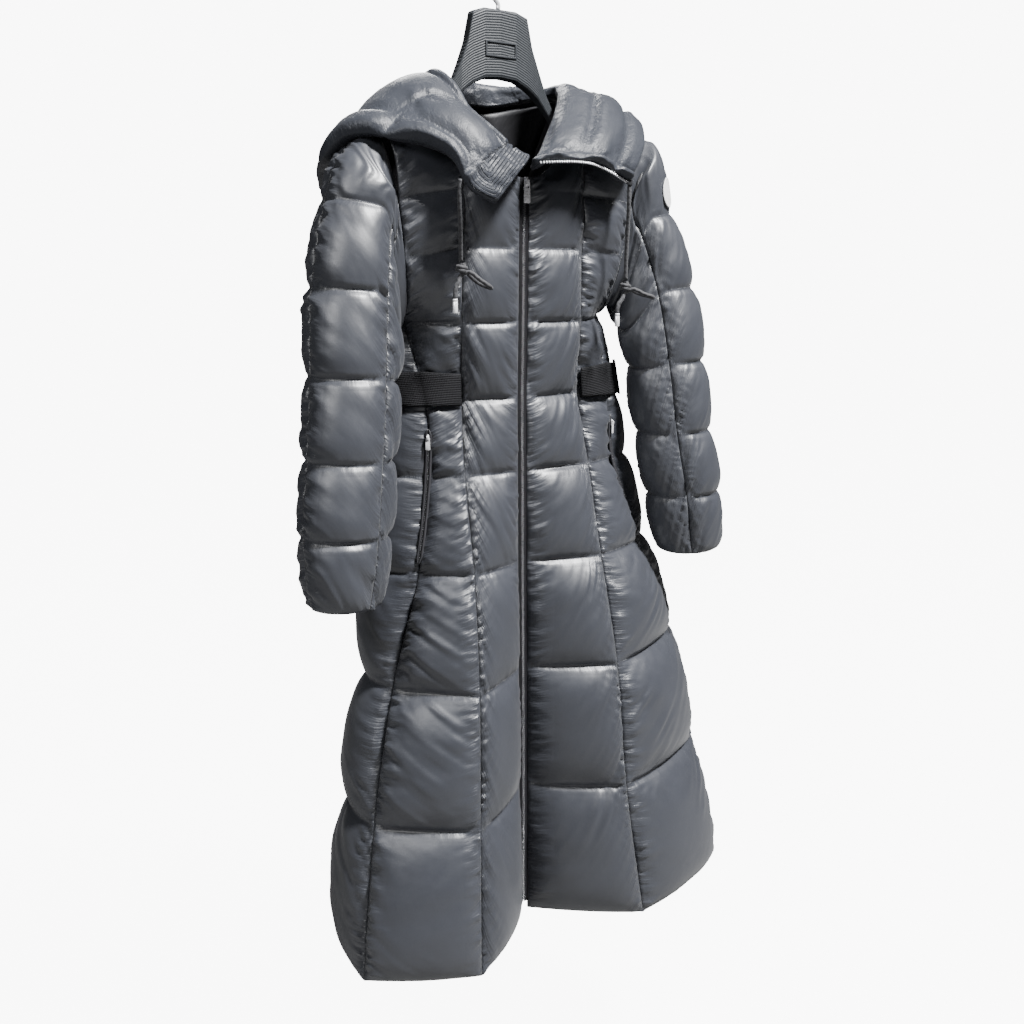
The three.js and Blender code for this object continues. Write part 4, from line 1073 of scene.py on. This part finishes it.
# The main zip: a woven tape on each side and two rows of small moulded teeth.
def unite(parts):
    """One list of points and one of faces from many small ones."""
    points, faces = [], []
    for more_points, more_faces in parts:
        base_at = len(points)
        points += list(more_points)
        faces += [tuple(v + base_at for v in face) for face in more_faces]
    return points, faces


def edit_all(piece):
    """Opens the piece in edit mode with its whole mesh selected."""
    bpy.ops.object.select_all(action="DESELECT")
    bpy.context.view_layer.objects.active = piece
    piece.select_set(True)
    bpy.ops.object.mode_set(mode="EDIT")
    bpy.ops.mesh.select_all(action="SELECT")


def outward(name, points, faces, finish, **more):
    """A closed piece whose faces are all turned outwards."""
    piece = mesh_piece(name, np.asarray(points) * MM, faces, finish, **more)
    edit_all(piece)
    bpy.ops.mesh.normals_make_consistent(inside=False)
    bpy.ops.object.mode_set(mode="OBJECT")
    piece.select_set(False)
    return piece


def block(place, half, turn=None):
    """A small box with cut corners about a place, sizes in millimetres."""
    hx, hy, hz = half
    c = min(half) * 0.35
    sections = []
    for y, inset in ((-hy, c), (-hy + c, 0), (hy - c, 0), (hy, c)):
        x, z = hx - inset, hz - inset
        sections.append([
            (-x, y, c - z), (c - x, y, -z), (x - c, y, -z), (x, y, c - z),
            (x, y, z - c), (x - c, y, z), (c - x, y, z), (-x, y, z - c),
        ])
    points, faces = lofted(sections)
    if turn is not None:
        points = points @ np.asarray(turn, float)
    return points + place, faces


TOOTH_PITCH, HOOD_TOOTH_PITCH = 3.0, 3.4
tape = Finish("zip_tape", 0.7)
tape_weave = tape.wave("Object", 220, "Z")
tape.bump(tape_weave, 0.0004, 0.6)
tape.tint(tape_weave, (0.006, 0.006, 0.007), (0.013, 0.013, 0.015))
tape.set(Specular_IOR_Level=0.12)
coil = Finish("zip_coil", 0.24, 0.8)
coil.wear("Object", 300, 0.25, 0.42)
coil.tint(coil.noise("Object", 500), (0.02, 0.02, 0.022), (0.15, 0.15, 0.16))
TAPE_SECTION = [
    (0.9, -0.9), (1.2, -1.1), (3.4, -1.1), (3.8, -0.8), (6.5, -0.8), (6.9, -0.4), (6.9, 0.5),
    (6.5, 0.9), (0.9, 0.9),
]
for side, sign in SIDES.items():
    ts = np.linspace(0.003, 8.9, 220)
    middle = along(SEAMS[sign]["zip"], ts)
    sections = [
        [(ZIP_X + sign * x, m[1] + y, m[2]) for x, y in TAPE_SECTION] for m in middle
    ]
    fitted(outward(f"zip_tape_{side}", *lofted(sections), tape), "webbing", f"zip_{side}")
    dense = along(SEAMS[sign]["zip"], np.linspace(0.03, 8.88, 3000))
    reach = reach_of(dense)
    teeth = []
    offset = 0.0 if sign > 0 else TOOTH_PITCH / 2
    for step in np.arange(offset, reach[-1], TOOTH_PITCH):
        place = [np.interp(step, reach, dense[:, axis]) for axis in range(3)]
        teeth.append(block((ZIP_X + sign * 1.05, place[1] - 1.1, place[2]), (1.5, 0.9, 0.85)))
    fitted(outward(f"zip_teeth_{side}", *unite(teeth), coil), "webbing")

# The hood's zip: bright metal teeth along its front edge on the left, on a narrow tape, with a
# stop at the outer end.
# The teeth's light grey is partly the metal's own colour and partly painted reflection. With
# lowered metallic they read bright, as if they mirrored a bright room.
hood_tooth_and_painted_reflection = Finish("hood_tooth_metal_and_painted_reflection", 0.28, 0.6)
hood_tooth_and_painted_reflection.set(Base_Color=(0.75, 0.75, 0.77, 1))
hood_tooth_and_painted_reflection.wear("Object", 600, 0.2, 0.38)
edge_w = np.linspace(0.95, 2.96, 400)
edge_line = hood_base("left", 0 * edge_w, edge_w)
edge_n = hood_normal("left", 0 * edge_w, edge_w)
edge_t = unit(np.gradient(edge_line, axis=0))
edge_out = unit(np.cross(edge_t, edge_n))
if edge_out[200] @ (hood_base("left", np.array([0.4]), np.array([2.0]))[0] - edge_line[200]) > 0:
    edge_out = -edge_out
edge_reach = reach_of(edge_line)
tape_rings = []
for i in range(0, 400, 5):
    tape_rings.append([
        edge_line[i] + out * edge_out[i] + up * edge_n[i]
        for out, up in ((-1, 1.6), (3.4, 1.6), (3.8, 1), (3.4, 0.4), (-1, 0.4))
    ])
fitted(outward("hood_zip_tape", *lofted(tape_rings), tape), "webbing")
teeth = []
for step in np.arange(1, edge_reach[-1] - 3, HOOD_TOOTH_PITCH):
    i = int(np.interp(step, edge_reach, np.arange(400)))
    turn = np.stack([edge_out[i], edge_n[i], edge_t[i]])
    teeth.append(block(edge_line[i] + 3.6 * edge_out[i] + 1.7 * edge_n[i], (1.7, 1.3, 1.0), turn))
fitted(outward("hood_zip_teeth", *unite(teeth), hood_tooth_and_painted_reflection), "metal")
stop_turn = np.stack([edge_out[-1], edge_n[-1], edge_t[-1]])
stop_place = edge_line[-4] + 2 * edge_out[-4] + 2 * edge_n[-4]
fitted(outward("hood_zip_stop", *block(stop_place, (4, 2.4, 5), stop_turn), coil), "plastic")

# A stand pocket in each side seam: a padded welt, and a dark zip along its middle.
welt = Finish("pocket_welt", 0.5)
welt.bump(welt.noise("Object", (160, 160, 40), 4), 0.002, 0.5)
welt.tint(welt.noise("Object", 60), (0.018, 0.018, 0.021), (0.028, 0.028, 0.032))


POCKET_TOP, POCKET_END = 4.38, 5.9
WELT_HALF = 5
WELT_SECTION = [
    (-1, 0.05), (-0.95, 0.6), (-0.7, 0.95), (-0.35, 0.9), (-0.16, 0.45), (0.16, 0.45),
    (0.35, 0.9), (0.7, 0.95), (0.95, 0.6), (1, 0.05), (0.6, -0.1), (-0.6, -0.1),
]


def pocket_point(sign, t, across, out):
    """A point on the side seam, moved across the pocket and out from the cloth."""
    t = np.array([t])
    normal = seam_normal(sign, "front_edge", t)
    side = unit(point(-normal[..., 1], normal[..., 0], np.zeros(1)))
    return (edge_point(sign, t, True) + normal * out + side * across)[0]


for side, sign in SIDES.items():
    sections, teeth = [], []
    for t in np.linspace(POCKET_TOP, POCKET_END, 90):
        half = WELT_HALF * min(1.0, 0.35 + 9 * min(t - POCKET_TOP, POCKET_END - t))
        sections.append([
            pocket_point(sign, t, x * half, 5 + y * 2.6) for x, y in WELT_SECTION
        ])
    lips = outward(f"pocket_welt_{side}", *lofted(sections), welt)
    fitted(lips, "webbing", f"pocket_{side}")
    for i, t in enumerate(np.linspace(4.5, 5.86, 62)):
        teeth.append(block(pocket_point(sign, t, 0.35 * (-1) ** i, 6.5), (0.8, 0.5, 0.9)))
    fitted(outward(f"pocket_teeth_{side}", *unite(teeth), coil), "webbing")

# The waist belt is ribbed webbing, from each princess seam round to the centre back, through a
# loop on each side.
webbing = Finish("ribbed_webbing", 0.75)
rib = webbing.wave("UV", (1, 130, 1), "Y")
cross = webbing.wave("UV", (140, 1, 1), "X")
webbing.bump(rib, 0.0008, 0.7)
webbing.bump(cross, 0.0005, 0.5)
webbing.tint(webbing.math("MULTIPLY", rib, cross), (0.007, 0.007, 0.008), (0.017, 0.017, 0.019))
webbing.set(Specular_IOR_Level=0.12)
BELT_ROWS = (3.66, 3.87, 4.08)
BELT_PANELS = ("front_side", "back_side", "back_centre")


def belt_line(panel, sign, u, out):
    """The band's upper and lower edge over a panel, clear of the swelling under it."""
    ts = np.array(BELT_ROWS)
    us = np.full(3, u)
    p, normal, width = panel_base(panel, sign, us, ts)
    reach = panel_puff(panel, us, ts, p[:, 2], width).max()
    lifted = p + normal * (CLOTH_OUT + reach + 2.9 + out)
    return lifted[0], lifted[2]


def belt_ring(panel, sign, u, inner, outer, over):
    """A thin rounded section of the band: points and their places across it in metres."""
    top_in, low_in = belt_line(panel, sign, u, inner)
    top_out, low_out = belt_line(panel, sign, u, outer)
    up = np.array([0, 0, over])
    ring, across = [], []
    for k in np.linspace(0, 1, 15):
        edge = 0.45 * (1 - min(1, 12 * min(k, 1 - k)))
        a = (top_out + up) * (1 - k) + (low_out - up) * k
        b = (top_in + up) * (1 - k) + (low_in - up) * k
        ring.append(a * (1 - edge) + b * edge)
        across.append(k)
    for k in np.linspace(1, 0, 5):
        ring.append((top_in + up) * (1 - k) + (low_in - up) * k)
        across.append(k)
    return ring, across


def band(name, places, inner, outer, over, finish):
    """A strip of webbing along the given places, its weave laid out in metres."""
    sections, uvs, reach, before = [], [], 0.0, None
    for panel, sign, u in places:
        ring, across = belt_ring(panel, sign, u, inner, outer, over)
        if before is not None:
            reach += np.linalg.norm(ring[7] - before) * MM
        before = ring[7]
        tall = np.linalg.norm(ring[0] - ring[14]) * MM
        sections.append(ring)
        uvs += [(reach, k * tall) for k in across]
    return outward(name, *lofted(sections), finish, uvs=uvs)


for side, sign in SIDES.items():
    places = [(panel, sign, u) for panel in BELT_PANELS for u in np.linspace(0.03, 0.985, 40)]
    belt = band(f"waist_belt_{side}", places, 0, 2.4, 0, webbing)
    fitted(belt, "webbing", f"belt_{side}")
    places = [("back_side", sign, u) for u in np.linspace(0.2, 0.3, 12)]
    loop = band(f"waist_loop_{side}", places, 3.3, 4.9, 4, webbing)
    fitted(loop, "webbing", f"belt_loop_{side}")

# The badge is a plain white woven disc with a stitched rim, on the left upper sleeve.
badge_weave = Finish("badge_weave", 0.6)
thread = badge_weave.math(
    "MULTIPLY", badge_weave.wave("UV", (260, 1, 1), "X"), badge_weave.wave("UV", (1, 260, 1), "Y")
)
badge_weave.bump(thread, 0.0004, 0.6)
badge_weave.tint(thread, (0.70, 0.70, 0.69), (0.86, 0.86, 0.85))
BADGE_PROFILE = [
    (0.01, 1.5), (5, 1.5), (10, 1.5), (14.6, 1.5), (15.2, 1.5), (16, 2.0), (17, 2.1), (17.8, 1.7),
    (18, 1.1), (17.8, 0.5), (12, 0.5), (0.01, 0.5),
]


def badge_point(radius, turn, lift):
    """A point of the disc, laid on the upper sleeve's swelling."""
    across, up = radius * math.cos(turn), radius * math.sin(turn)
    t = np.array([1.7 - up / 88])
    angle = np.array([-36 + math.degrees(across / 62)])
    base, normal = sleeve_base(1, t, angle)
    puff = sleeve_puff(t, angle, (angle - 30) / -120)
    return (base + normal * (CLOTH_OUT + puff + lift)[..., None])[0]


rings, uvs = [], []
for radius, lift in BADGE_PROFILE:
    turns = np.linspace(0, 2 * math.pi, 48, endpoint=False)
    rings.append([badge_point(radius, turn, lift) for turn in turns])
    uvs += [(radius * MM * math.cos(turn), radius * MM * math.sin(turn)) for turn in turns]
badge = outward("round_badge", *lofted(rings), badge_weave, uvs=uvs)
fitted(badge, "badge", "sleeve_badge")

# The hanger is moulded in dark satin plastic, with fine ribs that follow its arch, a raised
# blank frame on its neck, and a steel hook.
plastic = Finish("hanger_plastic", 0.48)
plastic.set(Specular_IOR_Level=0.2)
arch_rib = plastic.wave("UV", (1, 96, 1), "Y")
plastic.bump(arch_rib, 0.0008, 0.5)
plastic.bump(plastic.noise("Object", 900, 3), 0.0003, 0.4)
plastic.tint(arch_rib, (0.022, 0.024, 0.027), (0.031, 0.034, 0.038))
HANGER = [
    # distance from the middle, top, bottom, half the thickness
    (0, -62, -148, 8), (24, -62, -150, 8), (42, -68, -158, 8), (50, -104, -163, 8),
    (60, -130, -171, 8), (74, -161, -186, 6), (92, -193.5, -207, 6), (120, -194, -210, 7),
    (150, -213, -229, 6), (164, -223, -235, 5),
]
columns = np.array(HANGER, float)
sections, uvs = [], []
for x in np.concatenate([np.linspace(-164, 0, 130)[:-1], np.linspace(0, 164, 130)]):
    top, low, half = (np.interp(abs(x), columns[:, 0], columns[:, k]) for k in (1, 2, 3))
    corner = min(4.0, half * 0.6, (top - low) / 5)
    ring = []
    for turn, cy, cz in ((90, -1, 1), (180, -1, -1), (270, 1, -1), (0, 1, 1)):
        for step in range(4):
            a = math.radians(turn + step * 30)
            ring.append((
                x, cy * (half - corner) + corner * math.cos(a),
                (top - corner if cz > 0 else low + corner) + corner * math.sin(a),
            ))
        if cz > 0 and cy < 0 or cz < 0 and cy > 0:
            z0 = ring[-1][2]
            z1 = low + corner if cz > 0 else top - corner
            ring += [(x, cy * half, z0 + (z1 - z0) * k) for k in np.linspace(0, 1, 18)[1:-1]]
    sections.append(ring)
    uvs += [(x * MM, (p[2] - low) * MM) for p in ring]
hanger = outward("moulded_hanger", *lofted(sections), plastic, uvs=uvs)
fitted(hanger, "plastic", "hanger")

HOOK_BEND, HOOK_TOP = 25, 3
hook_line = [(0, 0, -61.7), (0, 0, -54)]
for angle in range(235, -36, -9):
    a = math.radians(angle)
    height = HOOK_TOP - HOOK_BEND + HOOK_BEND * math.sin(a)
    hook_line.append((HOOK_BEND * math.cos(a), 0, height))
hook = tube("steel_hook", smooth_line(hook_line, 3) * MM, 0.003, nickel_and_painted_reflection, 20)
fitted(hook, "metal", "hanger_hook")

# The sliders, their pulls and the hanger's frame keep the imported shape, with softened edges.
moulding = Finish("frame_plastic", 0.42)
moulding.set(Specular_IOR_Level=0.3)
moulding.bump(moulding.noise("Object", 900, 3), 0.0003, 0.4)
moulding.tint(moulding.noise("Object", 90), (0.026, 0.028, 0.032), (0.036, 0.039, 0.043))
# The sliders and pulls: their pale grey is partly the metal's own colour and partly painted
# reflection. With little metallic it reads bright, as if it mirrored a bright room.
silver_and_painted_reflection = Finish("cast_silver_and_painted_reflection", 0.3, 0.35)
silver_and_painted_reflection.set(Base_Color=(0.9, 0.9, 0.92, 1))
silver_and_painted_reflection.wear("Object", 500, 0.18, 0.34)
silver_and_painted_reflection.bump(silver_and_painted_reflection.noise("Object", 1400, 3), 0.0002, 0.3)
SOFTENED = {
    "zip_slider": ("coat", silver_and_painted_reflection, "metal"), "zip_pull": ("zip_pull", silver_and_painted_reflection, "metal"),
    "hanger_frame": ("coat", moulding, "plastic"),
}
for side in SIDES:
    SOFTENED[f"pocket_slider_{side}"] = ("coat", silver_and_painted_reflection, "metal")
    SOFTENED[f"pocket_pull_{side}"] = (f"pocket_pull_{side}", silver_and_painted_reflection, "metal")
for node, (body, finish, slot) in SOFTENED.items():
    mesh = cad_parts[node].data.copy()
    mesh.materials.clear()
    mesh.materials.append(finish.material)
    piece = bpy.data.objects.new(f"{node}_soft", mesh)
    bpy.context.collection.objects.link(piece)
    edit_all(piece)
    bpy.ops.mesh.remove_doubles(threshold=0.00001)
    bpy.ops.mesh.dissolve_limited(angle_limit=math.radians(2))
    bpy.ops.object.mode_set(mode="OBJECT")
    rounding = piece.modifiers.new("rounding", "BEVEL")
    rounding.width = 0.0003
    rounding.segments = 2
    rounding.limit_method = "ANGLE"
    rounding.angle_limit = math.radians(35)
    bpy.ops.object.modifier_apply(modifier="rounding")
    bpy.ops.object.shade_smooth_by_angle(angle=math.radians(40))
    piece.select_set(False)
    fitted(piece, slot, node, body=body)
